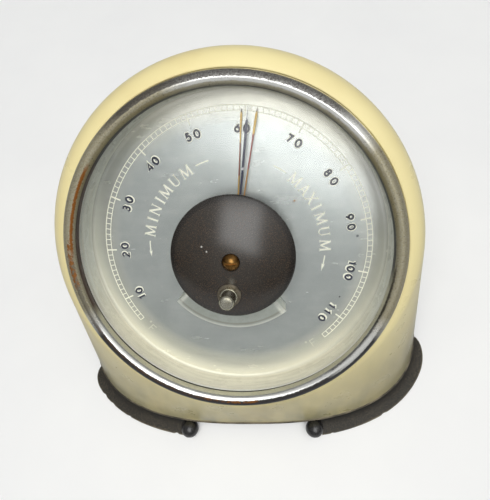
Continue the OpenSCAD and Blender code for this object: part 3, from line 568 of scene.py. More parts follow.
case = {"ringRadius": 56.8, "round": 10.0, "ringHeight": 2.5, "halfWidth": 78.0, "front": 48.0, "back": 68.0,
        "fore": 10.0, "power": 2.6, "lower": 6.6, "wall": 3.0, "rebate": 59.0, "seatInner": 56.4,
        "seatOuter": 61.5, "seatTop": 9.0, "seatLow": 5.5, "ledge": 58.55, "ledgeTop": 11.5, "steps": 360}


def outlineAt(polar, out=0.0):
    # superellipse about the middle of the widest line, less deep in front than behind: radius at each polar
    # angle, moved out along its own normal
    c, s = np.cos(polar), np.sin(polar)
    n, a, b = case["power"], case["halfWidth"], np.where(s > 0, case["back"], case["front"])
    radius = ((np.abs(c) / a) ** n + (np.abs(s) / b) ** n) ** (-1 / n)
    x, y = radius * c, radius * s
    gx = np.sign(x) * (np.abs(x) / a) ** (n - 1) / a
    gy = np.sign(y) * (np.abs(y) / b) ** (n - 1) / b
    size = np.hypot(gx, gy)
    return x + out * gx / size, y - case["fore"] + out * gy / size, gx / size, gy / size


def evenPolar(count):
    # polar angles spaced evenly in the mean of the place's angle and the normal's angle
    polar = np.linspace(0, 2 * np.pi, 14401)
    _, _, nx, ny = outlineAt(polar)
    normal = np.unwrap(np.arctan2(ny, nx))
    mean = (polar + normal) / 2
    return np.interp(np.linspace(mean[0], mean[0] + 2 * np.pi, count, endpoint=False), mean, polar)


def skinLines(polar, inset):
    # for each outline point, the plane that touches both the outline and the tilted ring gives one line of
    # the skin: the tilt e of its normal (cos e * outward + sin e * up) makes both support heights equal
    axis = dialTurn[:, 2]
    centre = dialCentre + case["ringHeight"] * axis
    x, y, nx, ny = outlineAt(polar, -inset)
    level = nx * x + ny * y
    low, high = np.full_like(level, -1.2), np.full_like(level, 1.2)
    minor = case["round"] - inset
    for _ in range(48):
        e = (low + high) / 2
        normal = np.stack([np.cos(e) * nx, np.cos(e) * ny, np.sin(e)], -1)
        across = normal - (normal @ axis)[:, None] * axis
        ring = normal @ centre + case["ringRadius"] * np.linalg.norm(across, axis=1) + minor
        base = np.cos(e) * level + np.sin(e) * case["lower"]
        below = ring < base
        low, high = np.where(below, e, low), np.where(below, high, e)
    outward = across / np.linalg.norm(across, axis=1)[:, None]
    tilt = np.arctan2(normal @ axis, (normal * outward).sum(1))
    foot = np.stack([x, y, np.full_like(x, case["lower"])], -1)
    return centre, axis, outward, tilt, foot, minor


def ringPoint(centre, axis, outward, minor, angle):
    return (centre + case["ringRadius"] * outward + minor * np.cos(angle)[:, None] * outward
            + minor * np.sin(angle)[:, None] * axis)


def buildCase():
    polar = evenPolar(case["steps"])
    centre, axis, outward, tilt, foot, minor = skinLines(polar, 0.0)
    start = math.acos((case["rebate"] + 0.35 - case["ringRadius"]) / case["round"])
    rows = []

    def atDial(radius, height):
        rows.append(dialCentre + radius * outward + height * axis)

    atDial(case["seatInner"], case["seatTop"])
    atDial(case["ledge"], case["seatTop"])
    atDial(case["ledge"], case["ledgeTop"] - 0.12)
    atDial(case["ledge"] + 0.1, case["ledgeTop"])
    atDial(case["rebate"] - 0.05, case["ledgeTop"] - 0.02)
    atDial(case["rebate"], case["ledgeTop"] - 0.3)
    top = case["ringHeight"] + case["round"] * math.sin(start)
    atDial(case["rebate"] + 0.02, top - 0.3)
    atDial(case["rebate"] + 0.1, top - 0.1)
    for share in np.linspace(0, 1, 26):
        rows.append(ringPoint(centre, axis, outward, minor, start + (tilt - start) * share))
    touch = rows[-1]
    for share in np.linspace(0, 1, 44)[1:]:
        rows.append(touch + (foot - touch) * share)
    inCentre, inAxis, inOutward, inTilt, inFoot, inMinor = skinLines(polar, case["wall"])
    inTouch = ringPoint(inCentre, inAxis, inOutward, inMinor, inTilt)
    for share in np.linspace(1, 0, 6):
        rows.append(inTouch + (inFoot - inTouch) * share)
    for share in np.linspace(0, 1, 6)[1:]:
        end = math.asin((case["seatLow"] - case["ringHeight"]) / inMinor)
        rows.append(ringPoint(inCentre, inAxis, inOutward, inMinor, inTilt + (end - inTilt) * share))
    atDial(case["seatOuter"], case["seatLow"])
    atDial(case["seatInner"], case["seatLow"])
    points = np.stack(rows, 1)
    return addMesh("caseSkin", points, gridFaces(points.shape[0], points.shape[1], True, True), cream)


vents = {"count": 5, "pitch": 12.0, "width": 2.4, "length": 22.0, "height": 36.6, "start": 40.0,
         "depth": 40.0}


def cutVents(piece):
    # slots: rounded bars taken out of the back wall
    radius, half = vents["width"] / 2, (vents["length"] - vents["width"]) / 2
    rim = np.concatenate([arc((0, half), radius, 0, 180, 13), arc((0, -half), radius, 180, 360, 13)])
    count = len(rim)
    for index in range(vents["count"]):
        across = (index - (vents["count"] - 1) / 2) * vents["pitch"]
        front = np.stack([rim[:, 0] + across, np.full(count, vents["start"]),
                          rim[:, 1] + vents["height"]], -1)
        back = front + np.array([0, vents["depth"], 0])
        faces = [tuple(f) for f in gridFaces(2, count, False, True)]
        faces += [tuple(range(count)), tuple(range(2 * count - 1, count - 1, -1))]
        takeAway(piece, mergeAndTurnOut(meshOf("slotBar", np.stack([front, back]), faces, cream)))
    smoothBy(piece, 35)


caseSkin = mergeAndTurnOut(buildCase(), sharpAngle=35)
cutVents(caseSkin)
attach(caseSkin, "case")
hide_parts("case_shell")
print("stage: case made", len(caseSkin.data.polygons))


# base moulding: plate with a rounded rim, and three hollow feet carried along the outline

base = {"top": 6.6, "plate": 1.8, "rim": 0.7, "inside": 1.5, "edge": 0.9, "high": 4.8, "ballAngle": 31.3,
        "ballOut": 4.0, "ball": 4.0, "stand": 2.9, "nick": 0.9, "frontReach": 7.6, "backReach": 6.6}


def buildPlate():
    polar = evenPolar(300)
    low, high, rim = base["top"] - base["plate"], base["top"], base["rim"]
    profile = [(-12.0, low), (rim - 0.3, low), (rim - 0.08, low + 0.08), (rim, low + 0.3), (rim, high - 0.4),
               (rim - 0.1, high - 0.12), (rim - 0.35, high), (-3.0, high), (-12.0, high)]
    rows = [np.stack([*outlineAt(polar, out)[:2], np.full_like(polar, z)], -1) for out, z in profile]
    middle = np.zeros_like(rows[0]) + np.array([0.0, -case["fore"], 0.0])
    rows = [middle + np.array([0, 0, low])] + rows + [middle + np.array([0, 0, high])]
    return addMesh("basePlate", np.stack(rows, 1), gridFaces(300, len(rows), True, False), baseFinish)


def ballPlace():
    x, y, _, _ = outlineAt(np.array([math.radians(base["ballAngle"] - 90)]), base["ballOut"])
    return x[0], y[0]


def buildFoot(name, start, end, reach, startTaper, endTaper, seed):
    # hollow curve: out = reach - (reach - rim) cos t, height = high - (high - edge) sin t; towards a
    # rounded end the reach shrinks as the height of a circle, sqrt(1 - (1 - way / taper)^2)
    t = np.radians(np.linspace(88, 2, 22))
    top = base["rim"] - 0.2
    hollow = np.stack([reach - (reach - top) * np.cos(t),
                       base["high"] - (base["high"] - base["edge"]) * np.sin(t)], -1)
    profile = np.concatenate([[(-base["inside"], 0.0), (reach - 0.3, 0.0), (reach - 0.08, 0.08), (reach, 0.3),
                               (reach, base["edge"] - 0.24), (reach - 0.08, base["edge"] - 0.05)], hollow,
                              [(top, base["high"]), (-base["inside"], base["high"])]])
    way = np.linspace(0, 1, 380)
    way = way - 0.085 * np.sin(2 * np.pi * way) * (1 if startTaper else 0.6)
    degrees = start + (end - start) * way
    share = np.ones_like(degrees)
    for taper, away in ((startTaper, abs(degrees - start)), (endTaper, abs(end - degrees))):
        if taper:
            share = np.minimum(share, np.sqrt(1 - (0.985 * np.clip(1 - away / taper, 0, 1)) ** 2))
    out, z = profile[:, 0][None, :], profile[:, 1][None, :]
    out = np.where(out > top, top + (out - top) * share[:, None], out)
    # small nicks in the lip: a product of sines along the path, strongest at the outer edge
    polar = np.radians(degrees)
    wave = np.sin(polar * 13 + seed) * np.sin(polar * 31 + 2.1 * seed) * np.sin(polar * 57 + seed)
    wave = wave + 0.16 * np.sin(polar * 97 + seed)
    outer = np.clip((out / reach - 0.78) / 0.22, 0, 1)
    nick = np.clip(wave - 0.3, 0, 1)[:, None] ** 1.5 * outer * base["nick"]
    x, y, _, _ = outlineAt(np.broadcast_to(polar[:, None], (len(polar), len(profile))), out - nick)
    points = np.stack([x, y, np.broadcast_to(z, x.shape)], -1)
    count = len(profile)
    faces = [tuple(f) for f in gridFaces(len(polar), count, False, True)]
    faces += [tuple(range(count)), tuple(range((len(polar) - 1) * count, len(polar) * count))]
    piece = meshOf(name, points, faces, baseFinish)
    # share of the painted highlight along the lip's outer edge, at each point of the profile
    worn = np.clip(1 - (reach - profile[:, 0]) / 0.9, 0, 1) * (profile[:, 1] > 0.05)
    lip = piece.data.attributes.new("lip", "FLOAT", "POINT")
    lip.data.foreach_set("value", np.tile(worn, len(polar)).astype(np.float32))
    return piece


ballX, ballY = ballPlace()
ballAway = math.hypot(ballX, ballY + case["fore"])
footStart = base["ballAngle"] - 90 + math.degrees(math.asin(base["stand"] / ballAway))
basePieces = [buildPlate(), buildFoot("footRight", footStart, -6.5, base["frontReach"], 0, 10.5, 0.4),
              buildFoot("footLeft", 180 - footStart, 195.0, base["frontReach"], 0, 6.5, 2.3),
              buildFoot("footBack", 58.0, 122.0, base["backReach"], 5.0, 5.0, 4.0)]
for piece in basePieces:
    mergeAndTurnOut(piece, sharpAngle=50)
    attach(piece, "case")
    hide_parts("base_moulding")


def buildBall(side):
    # sphere: latitude and longitude, with its poles along the vertical
    up = np.linspace(-90, 90, 33)
    profile = np.stack([np.cos(np.radians(up)), np.sin(np.radians(up))], -1) * base["ball"]
    around = np.linspace(0, 2 * np.pi, 64, endpoint=False)[:, None]
    x = side * ballX + profile[None, :, 0] * np.cos(around)
    y = ballY + profile[None, :, 0] * np.sin(around)
    z = base["ball"] + np.broadcast_to(profile[None, :, 1], x.shape)
    piece = addMesh("frontBall" + ("Left" if side < 0 else "Right"), np.stack([x, y, z], -1),
                    gridFaces(64, 33, True, False), ballBlack)
    return mergeAndTurnOut(piece, sharpAngle=80)


for side in (-1, 1):
    ball = buildBall(side)
    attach(ball, "case")
    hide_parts("front_balls")
print("stage: base made")


# bezel, glass and dial pan

bezel = {"outer": 58.4, "skirt": 57.5, "foot": 9.1, "glass": 12.6, "opening": 53.8, "crest": 16.6,
         "crestRadius": 55.9, "shoulder": 13.5, "face": 15.0}


def bezelProfile():
    # a quarter ellipse from the shoulder to the crest, and a steeper one down to the upright face inside
    outer, crest, middle, opening = bezel["outer"], bezel["crest"], bezel["crestRadius"], bezel["opening"]
    t = np.radians(np.linspace(0, 90, 20))
    u = np.radians(np.linspace(6, 88, 16))
    return np.concatenate([
        [(bezel["skirt"], bezel["glass"]), (bezel["skirt"], bezel["foot"]), (outer - 0.15, bezel["foot"]),
         (outer, bezel["foot"] + 0.2)],
        np.stack([middle + (outer - middle) * np.cos(t),
                  bezel["shoulder"] + (crest - bezel["shoulder"]) * np.sin(t)], -1),
        np.stack([middle - (middle - opening) * np.sin(u),
                  bezel["face"] + (crest - bezel["face"]) * np.cos(u)], -1),
        [(opening, bezel["glass"] + 0.12), (opening + 0.12, bezel["glass"])]])


bezelRing = lathe("bezelRing", bezelProfile(), nickel, 288, sharpAngle=50)
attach(bezelRing, "case")
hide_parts("bezel_ring")

pane = {"hole": 4.1, "outer": 57.4, "low": 10.6, "edge": 0.1}
crystal = lathe("crystalPane", [
    (pane["hole"], pane["low"]), (pane["outer"] - pane["edge"], pane["low"]),
    (pane["outer"], pane["low"] + pane["edge"]), (pane["outer"], bezel["glass"] - pane["edge"]),
    (pane["outer"] - pane["edge"], bezel["glass"]), (pane["hole"], bezel["glass"])], glassPane, 192,
                sharpAngle=30)
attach(crystal, "case")
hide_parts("crystal")

pan = {"inner": 55.3, "sheet": 0.8, "high": 9.0, "cove": 1.6, "hole": 2.5, "flange": 57.4}


def panProfile():
    r, t, cove = pan["inner"], pan["sheet"], pan["cove"]
    bend = arc((r - cove, cove), cove, -90, 0, 10)
    outside = arc((r - cove, cove), cove + t, 0, -90, 10)
    return np.concatenate([[(pan["hole"], 0.0), (20.0, 0.0), (40.0, 0.0)], bend,
                           [(r, 5.0), (r, pan["high"] + t - 0.3),
                            (r + 0.3, pan["high"] + t), (pan["flange"], pan["high"] + t),
                            (pan["flange"], pan["high"]), (r + t, pan["high"])], outside,
                           [(40.0, -t), (20.0, -t), (pan["hole"], -t)]])


dialPan = lathe("dialPan", panProfile(), silver, 256, sharpAngle=50)
dialPan.data.materials.append(wallMetal)
centres = np.zeros(len(dialPan.data.polygons) * 3)
dialPan.data.polygons.foreach_get("center", centres)
local = (centres.reshape(-1, 3) / mm - dialCentre) @ dialTurn
walls = ((local[:, 2] > 0.9) & (np.hypot(local[:, 0], local[:, 1]) > pan["inner"] - 0.9)).astype(np.int32)
dialPan.data.polygons.foreach_set("material_index", walls)
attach(dialPan, "case")
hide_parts("dial_pan")
print("stage: bezel, glass and pan made")


# printed scale, figures and words: thin sheets just above the face

def strokeStrip(path, width, closed=False):
    # a line carried sideways by half its width on each side, with mitred joints; returns points and faces
    path = np.asarray(path, float)
    ahead = np.roll(path, -1, 0) - path
    behind = path - np.roll(path, 1, 0)
    if not closed:
        ahead[-1], behind[0] = behind[-1], ahead[0]
    ahead /= np.linalg.norm(ahead, axis=1)[:, None]
    behind /= np.linalg.norm(behind, axis=1)[:, None]
    mean = ahead + behind
    mean /= np.linalg.norm(mean, axis=1)[:, None]
    reach = np.clip(1 / np.maximum((mean * ahead).sum(1), 0.4), 1, 1.8)
    side = np.stack([-mean[:, 1], mean[:, 0]], -1) * (reach * width / 2)[:, None]
    points = np.stack([path + side, path - side], 1).reshape(-1, 2)
    count = len(path)
    index = np.arange(count if closed else count - 1)
    after = (index + 1) % count
    faces = np.stack([2 * index, 2 * index + 1, 2 * after + 1, 2 * after], -1)
    return points, faces


class Sheet:
    def __init__(self):
        self.points, self.faces, self.count = [], [], 0

    def add(self, points, faces, height):
        points = np.asarray(points, float)
        self.points.append(np.column_stack([points, np.full(len(points), height)]))
        self.faces.append(np.asarray(faces) + self.count)
        self.count += len(points)

    def make(self, name, material):
        points = fromDial(np.concatenate(self.points))
        piece = addMesh(name, points, np.concatenate(self.faces), material, smooth=False)
        mesh = piece.data
        normals = np.zeros(len(mesh.polygons) * 3)
        mesh.polygons.foreach_get("normal", normals)
        if (normals.reshape(-1, 3) @ dialTurn[:, 2]).mean() < 0:
            mesh.flip_normals()
        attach(piece, "case")


def clockPoints(radius, degrees):  # points on the dial by radius and clock angle
    t = np.radians(degrees)
    return np.stack([radius * np.sin(t), radius * np.cos(t)], -1)


def placeAt(points, radius, degrees, inward=False):
    # local x along the circle and y outward, moved to a clock angle; inward turns the figure round
    points = np.asarray(points, float)
    if inward:
        points = -points
    t = math.radians(degrees)
    x, y = points[:, 0], points[:, 1] + radius
    return np.stack([x * math.cos(t) + y * math.sin(t), -x * math.sin(t) + y * math.cos(t)], -1)


scale = {"outer": 50.0, "inner": 47.9, "outerLine": 0.34, "innerLine": 0.28, "tick": 0.3, "tenTick": 0.52,
         "tenEnd": 46.1, "perDegree": 2.4, "from": 5, "to": 115, "height": 0.05, "inkHeight": 0.10}

lines = Sheet()
sweep = np.linspace(-132.0, 132.0, 265)
for radius, width in ((scale["outer"] - 0.17, scale["outerLine"]),
                      (scale["inner"] + 0.14, scale["innerLine"])):
    points, faces = strokeStrip(clockPoints(radius, sweep), width)
    lines.add(points, faces, scale["height"])
for degree in range(scale["from"], scale["to"] + 1):
    turn = (degree - 60) * scale["perDegree"]
    ten = degree % 10 == 0
    ends = clockPoints(np.array([scale["outer"] - 0.1, scale["tenEnd"] if ten else scale["inner"] + 0.1]),
                       turn)
    points, faces = strokeStrip(ends, scale["tenTick"] if ten else scale["tick"])
    lines.add(points, faces, scale["height"] + 0.002)
lines.make("scaleLines", creamInk)

# figures: single-width strokes, in mm, with their baselines at y = 0
figures = {
    "0": [(np.stack([0.88 * np.cos(np.linspace(0, 2 * np.pi, 40, endpoint=False)),
                     1.22 + 1.22 * np.sin(np.linspace(0, 2 * np.pi, 40, endpoint=False))], -1), True)],
    "1": [(np.array([(-0.52, 1.98), (0.08, 2.44), (0.08, 0.0)]), False)],
    "2": [(np.concatenate([arc((0.0, 1.72), 0.72, 165, -35, 16), [(-0.78, 0.0), (0.82, 0.0)]]), False)],
    "3": [(np.concatenate([arc((-0.02, 1.84), 0.6, 150, -75, 14), arc((0.0, 0.68), 0.7, 75, -150, 16)]),
           False)],
    "4": [(np.array([(0.4, 0.0), (0.4, 2.44), (-0.85, 0.68), (0.85, 0.68)]), False)],
    "5": [(np.concatenate([[(0.62, 2.42), (-0.42, 2.42), (-0.56, 1.36)],
                           arc((-0.06, 0.78), 0.78, 118, -148, 18)]), False)],
    "6": [(np.concatenate([[(0.42, 2.46), (0.02, 1.9)], arc((0.0, 0.76), 0.78, 150, 150 - 360, 30)]), False)],
    "7": [(np.array([(-0.72, 2.42), (0.74, 2.42), (-0.22, 0.0)]), False)],
    "8": [(arc((0.0, 1.84), 0.58, 0, 351, 24), True), (arc((0.0, 0.66), 0.68, 0, 351, 28), True)],
    "9": [(np.concatenate([[(-0.42, -0.02), (-0.02, 0.54)], arc((0.0, 1.68), 0.78, -30, -30 - 360, 30)]),
           False)],
}
# number: its figures' places along the circle, the shift of its baseline, and that of the cream under it
numbers = {10: ((-1.9, 0.8), 0.1, (0.5, -0.45)), 20: ((-1.9, 1.5), 0.0, (0.35, -0.1)),
           30: ((-2.0, 1.5), 0.35, (0.35, -0.45)), 40: ((-1.9, 1.2), -0.35, (0.35, 0.25)),
           50: ((-2.0, 1.25), -0.2, (0.1, 0.0)), 60: ((-2.3, 0.8), -0.45, (0.2, 0.2)),
           70: ((-2.0, 1.5), 0.35, (0.0, 0.0)), 80: ((-1.95, 1.75), -0.4, (0.05, 0.0)),
           90: ((-1.95, 1.75), -0.25, (0.1, 0.1)), 100: ((-2.5, -0.2, 3.1), 0.45, (-0.35, -0.6)),
           110: ((-1.9, 1.0, 4.4), 0.05, (-0.9, -0.1))}
figureLook = {"base": 41.55, "stroke": 0.7, "halo": 1.2, "slip": 0.6}

halos, inks = Sheet(), Sheet()
for number, (places, lift, slip) in numbers.items():
    turn = (number - 60) * scale["perDegree"]
    for figure, along in zip(str(number), places):
        for path, closed in figures[figure]:
            under, faces = strokeStrip(path, figureLook["halo"], closed)
            under = under + np.array([along, lift]) + figureLook["slip"] * np.array(slip)
            halos.add(placeAt(under, figureLook["base"], turn), faces, scale["height"] + 0.004)
            over, faces = strokeStrip(path, figureLook["stroke"], closed)
            inks.add(placeAt(over + np.array([along, lift]), figureLook["base"], turn), faces,
                     scale["inkHeight"])
halos.make("figureHalos", creamInk)
inks.make("figures", navyInk)

# capitals, 4 mm high: the width, the strokes as (x0, y0, x1, y1, width), and the feet as (x0, x1, y)
thick, thin, footLine, low, high = 0.66, 0.36, 0.28, 0.08, 3.92
capitals = {
    "M": (4.4, ((0.55, 0, 0.75, 4.0, thin), (0.75, 4.0, 2.2, 0.25, thick), (2.2, 0.25, 3.65, 4.0, thin),
                (3.65, 4.0, 3.85, 0, thick)),
          ((0.1, 1.05, low), (3.35, 4.35, low), (0.35, 0.9, high), (3.5, 4.05, high))),
    "I": (1.2, ((0.6, 0, 0.6, 4.0, thick),),
          ((0.1, 1.1, low), (0.1, 1.1, high))),
    "N": (3.7, ((0.6, 0, 0.6, 4.0, thin), (0.6, 4.0, 3.2, 0.1, thick), (3.2, 0.1, 3.2, 4.0, thin)),
          ((0.15, 1.05, low), (2.75, 3.65, high), (0.2, 0.7, high))),
    "U": (3.6, ((0.65, 1.2, 0.65, 4.0, thick), (2.95, 1.2, 2.95, 4.0, thin)),
          ((0.15, 1.15, high), (2.5, 3.4, high))),
    "A": (3.6, ((0.55, 0, 1.75, 4.0, thin), (1.75, 4.0, 3.05, 0, thick), (0.95, 1.35, 2.55, 1.35, thin)),
          ((0.1, 1.05, low), (2.55, 3.55, low))),
    "X": (3.6, ((0.6, 4.0, 3.0, 0, thick), (3.0, 4.0, 0.6, 0, thin)),
          ((0.1, 1.05, low), (2.55, 3.45, low), (0.15, 1.05, high), (2.55, 3.45, high))),
}
words = (("MINIMUM", (-83.4, -75.6, -69.0, -62.0, -55.2, -46.3, -37.0), 30.9),
         ("MAXIMUM", (35.6, 44.1, 51.2, 57.6, 65.2, 74.0, 83.2), 30.7))

marks = Sheet()
for word, turns, foot in words:
    for letter, turn in zip(word, turns):
        across, strokes, feet = capitals[letter]
        for x0, y0, x1, y1, width in (*strokes, *((a, y, b, y, footLine) for a, b, y in feet)):
            points, faces = strokeStrip([(x0, y0), (x1, y1)], width)
            points = points - np.array([across / 2, 0])
            marks.add(placeAt(points, foot, turn), faces, scale["height"])
        if letter == "U":
            points, faces = strokeStrip(arc((1.8, 1.25), 1.15, 180, 360, 15), thin)
            marks.add(placeAt(points - np.array([across / 2, 0]), foot, turn), faces, scale["height"] + 0.003)
for start, end, radius, width in ((-29.8, -21.0, 33.0, 0.5), (-90.2, -98.0, 32.9, 0.42),
                                  (19.8, 28.5, 32.7, 0.5), (90.0, 97.0, 32.8, 0.42)):
    points, faces = strokeStrip(clockPoints(radius, np.linspace(start, end, 9)), width)
    marks.add(points, faces, scale["height"])
for tip, tail, radius in ((-101.0, -96.6, 32.9), (100.8, 95.4, 32.8)):
    points = np.concatenate([clockPoints(radius, np.array([tip])),
                             clockPoints(radius + 0.62, np.array([tail])),
                             clockPoints(radius, np.array([tail + 0.25 * (tip - tail)])),
                             clockPoints(radius - 0.62, np.array([tail]))])
    marks.add(points, [[0, 1, 2, 3]], scale["height"] + 0.003)
marks.make("scaleWords", creamInk)

units, unitPlace = Sheet(), {"turn": 138.2, "radius": 50.3}
for side in (-1, 1):
    turn = side * unitPlace["turn"]
    for x0, y0, x1, y1 in ((-0.5, 0, -0.5, 3.0), (-0.5, 2.9, 1.35, 2.9), (-0.5, 1.5, 0.9, 1.5)):
        points, faces = strokeStrip([(x0, y0), (x1, y1)], 0.28)
        units.add(placeAt(points, unitPlace["radius"], turn, inward=True), faces, scale["height"])
    points, faces = strokeStrip(arc((-2.0, 3.2), 0.3, 0, 330, 12), 0.26, closed=True)
    units.add(placeAt(points, unitPlace["radius"], turn, inward=True), faces, scale["height"])
units.make("unitMarks", faintInk)
print("stage: scale printed")


# reset dome, its screw and the finger peg

dome = {"radius": 21.5, "low": 12.95, "rim": 0.8, "top": 19.25, "sheet": 2.2, "ball": 44.77, "boss": 4.2,
        "bossLow": 13.55, "pegOut": 11.9, "flat": 17.34, "washer": 4.1}


def domeProfile():
    ballLow = dome["top"] - dome["ball"]
    r = np.linspace(3.15, dome["radius"] - 0.35, 60)
    outer = np.stack([r, ballLow + np.sqrt(dome["ball"] ** 2 - r ** 2)], -1)
    edge = np.array([(dome["radius"] - 0.08, dome["low"] + dome["rim"] - 0.05),
                     (dome["radius"], dome["low"] + 0.45),
                     (dome["radius"], dome["low"] + 0.15), (dome["radius"] - 0.15, dome["low"])])
    inside = np.linspace(18.1, dome["boss"], 20)
    inner = np.stack([inside, ballLow + np.sqrt((dome["ball"] - dome["sheet"]) ** 2 - inside ** 2)], -1)
    hub = np.array([(dome["boss"], dome["bossLow"]), (1.5, dome["bossLow"]), (1.5, 17.5), (0.9, 17.5),
                    (0.9, 18.9), (3.1, 18.9)])
    return np.concatenate([outer, edge, inner, hub])


resetDome = lathe("resetDome", domeProfile(), charcoal, 256, sharpAngle=50)


def cutPegFlat(piece):
    # a round flat for the washer
    turn = np.linspace(0, 2 * np.pi, 64, endpoint=False)
    radius = dome["washer"] + 0.1
    rim = [radius * np.cos(turn), -dome["pegOut"] + radius * np.sin(turn)]
    rows = [fromDial(np.stack([*rim, np.full_like(turn, dome["flat"] + up)], -1)) for up in (0, 4)]
    faces = [tuple(f) for f in gridFaces(2, 64, False, True)] + [tuple(range(64)), tuple(range(64, 128))]
    takeAway(piece, mergeAndTurnOut(meshOf("flatCutter", np.stack(rows), faces, charcoal)))
    smoothBy(piece, 35)


cutPegFlat(resetDome)
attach(resetDome, "reset_knob")
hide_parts("reset_dome")


screw = {"radius": 3.0, "seat": 18.9, "rise": 1.9, "power": 2.6, "slot": 0.35, "floor": 19.95, "turn": 8.0}


def buildScrew():
    # round head: height rise (1 - (r / radius)^power), with a flat-bottomed slot across it
    slot, turn, size = screw["slot"], math.radians(screw["turn"]), screw["radius"]
    y = np.unique(np.concatenate([np.linspace(-size, -slot - 0.02, 22), [-slot, slot],
                                  np.linspace(slot + 0.02, size, 22),
                                  np.linspace(-slot + 0.02, slot - 0.02, 6)]))
    columns = 45
    yy, xx = np.meshgrid(y, np.linspace(-1, 1, columns), indexing="ij")
    xx = xx * np.sqrt(np.maximum(size ** 2 - yy ** 2, 0.0))
    r = np.hypot(xx, yy) / size
    height = screw["seat"] + screw["rise"] * (1 - np.clip(r, 0, 1) ** screw["power"])
    height = np.where(np.abs(yy) < slot - 0.005, np.minimum(height, screw["floor"]), height)
    top = np.stack([xx * math.cos(turn) - yy * math.sin(turn), xx * math.sin(turn) + yy * math.cos(turn),
                    height], -1)
    under = top.copy()
    under[..., 2] = screw["seat"]
    points = np.concatenate([fromDial(top).reshape(-1, 3), fromDial(under).reshape(-1, 3)])
    faces = gridFaces(len(y), columns, False, False)
    both = np.concatenate([faces, faces[:, ::-1] + len(y) * columns])
    return mergeAndTurnOut(addMesh("domeScrew", points, both, brass), distance=2e-6, sharpAngle=30)


domeScrew = buildScrew()
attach(domeScrew, "reset_knob")
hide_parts("dome_screw")

pegProfile = [(0, 18.07), (2.85, 18.07), (2.95, 18.22), (2.95, 19.37), (2.75, 19.64), (2.55, 19.67),
              (2.5, 19.77), (2.5, 24.82), (2.45, 24.97), (1.95, 25.5), (1.85, 25.54), (0, 25.54)]
fingerPeg = lathe("fingerPeg", pegProfile, pegSteel, 64, closed=False, centre=(0.0, -dome["pegOut"]),
                  sharpAngle=28)
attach(fingerPeg, "reset_knob")
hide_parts("finger_peg")
washerProfile = [(1.4, 17.35), (4.0, 17.35), (4.1, 17.45), (4.1, 17.97), (3.95, 18.13), (1.4, 18.14)]
pegWasher = lathe("pegWasher", washerProfile, washerSteel, 64, centre=(0.0, -dome["pegOut"]), sharpAngle=28)
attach(pegWasher, "reset_knob")
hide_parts("peg_washer")
print("stage: reset knob made")


# pointers: half widths by the distance from the axis in mm; a hub ring carries the blade and its tail
pointers = {
    "main": {"node": "main_pointer", "body": "main_hand", "slot": "navy_enamel", "paint": navyPaint,
             "turn": 1.4, "hub": 2.8, "bore": 1.0, "low": 3.6, "high": 4.8, "blade": 4.0,
             "at": (-9.0, -8.6, 22.0, 43.8, 44.6, 45.2, 49.7),
             "half": (0.2, 0.35, 0.34, 0.44, 0.36, 0.15, 0.05)},
    "minimum": {"node": "minimum_pointer", "body": "minimum_hand", "slot": "gilt_pointer", "paint": giltPaint,
                "turn": -1.4, "hub": 4.2, "bore": 2.45, "low": 0.7, "high": 1.55, "blade": 1.1,
                "at": (-9.0, -8.6, 22.0, 38.0, 43.0, 46.4, 47.2, 48.6),
                "half": (0.2, 0.3, 0.22, 0.2, 0.3, 0.38, 0.3, 0.05)},
    "maximum": {"node": "maximum_pointer", "body": "maximum_hand", "slot": "red_pointer", "paint": redPaint,
                "turn": 4.9, "hub": 4.2, "bore": 2.45, "low": 2.15, "high": 3.0, "blade": 2.55,
                "at": (-9.0, -8.6, 22.0, 38.0, 42.0, 46.8, 47.6, 49.1),
                "half": (0.2, 0.3, 0.22, 0.24, 0.36, 0.4, 0.3, 0.05)},
}


def buildBlade(name, look):
    # two prisms of 0.3 mm sheet, tail and blade, that start inside the hub and leave its bore free
    cross = np.array([(-1, 0), (1, 0), (1, 0.2), (0.75, 0.3), (-0.75, 0.3), (-1, 0.2)])
    points, faces, count = [], [], 0
    inner = look["bore"] + 0.4
    for start, end in ((look["at"][0], -inner), (inner, look["at"][-1])):
        stations = [a for a in look["at"] if start < a < end]
        along = np.unique(np.concatenate([np.linspace(start, end, 40), stations]))
        half = np.interp(along, look["at"], look["half"])
        flat = np.stack([half[:, None] * cross[:, 0], np.broadcast_to(along[:, None], (len(along), 6))], -1)
        turned = placeAt(flat.reshape(-1, 2), 0.0, look["turn"])
        level = np.tile(look["blade"] + cross[:, 1], len(along))
        points.append(fromDial(np.column_stack([turned, level])))
        rows = gridFaces(len(along), 6, False, True) + count
        last = count + 6 * (len(along) - 1)
        faces += [tuple(f) for f in rows] + [tuple(range(count, count + 6)), tuple(range(last, last + 6))]
        count = last + 6
    return mergeAndTurnOut(meshOf(name, np.concatenate(points), faces, look["paint"]), sharpAngle=30)


for name, look in pointers.items():
    ring = [(look["bore"], look["low"]), (look["hub"], look["low"]), (look["hub"], look["high"] - 0.1),
            (look["hub"] - 0.1, look["high"]), (look["bore"], look["high"])]
    blade = buildBlade(name + "Blade", look)
    hub = lathe(name + "Hub", ring, look["paint"], 64, sharpAngle=30)
    for piece in (blade, hub):
        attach(piece, look["body"])
        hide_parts(look["node"])
print("stage: pointers made")

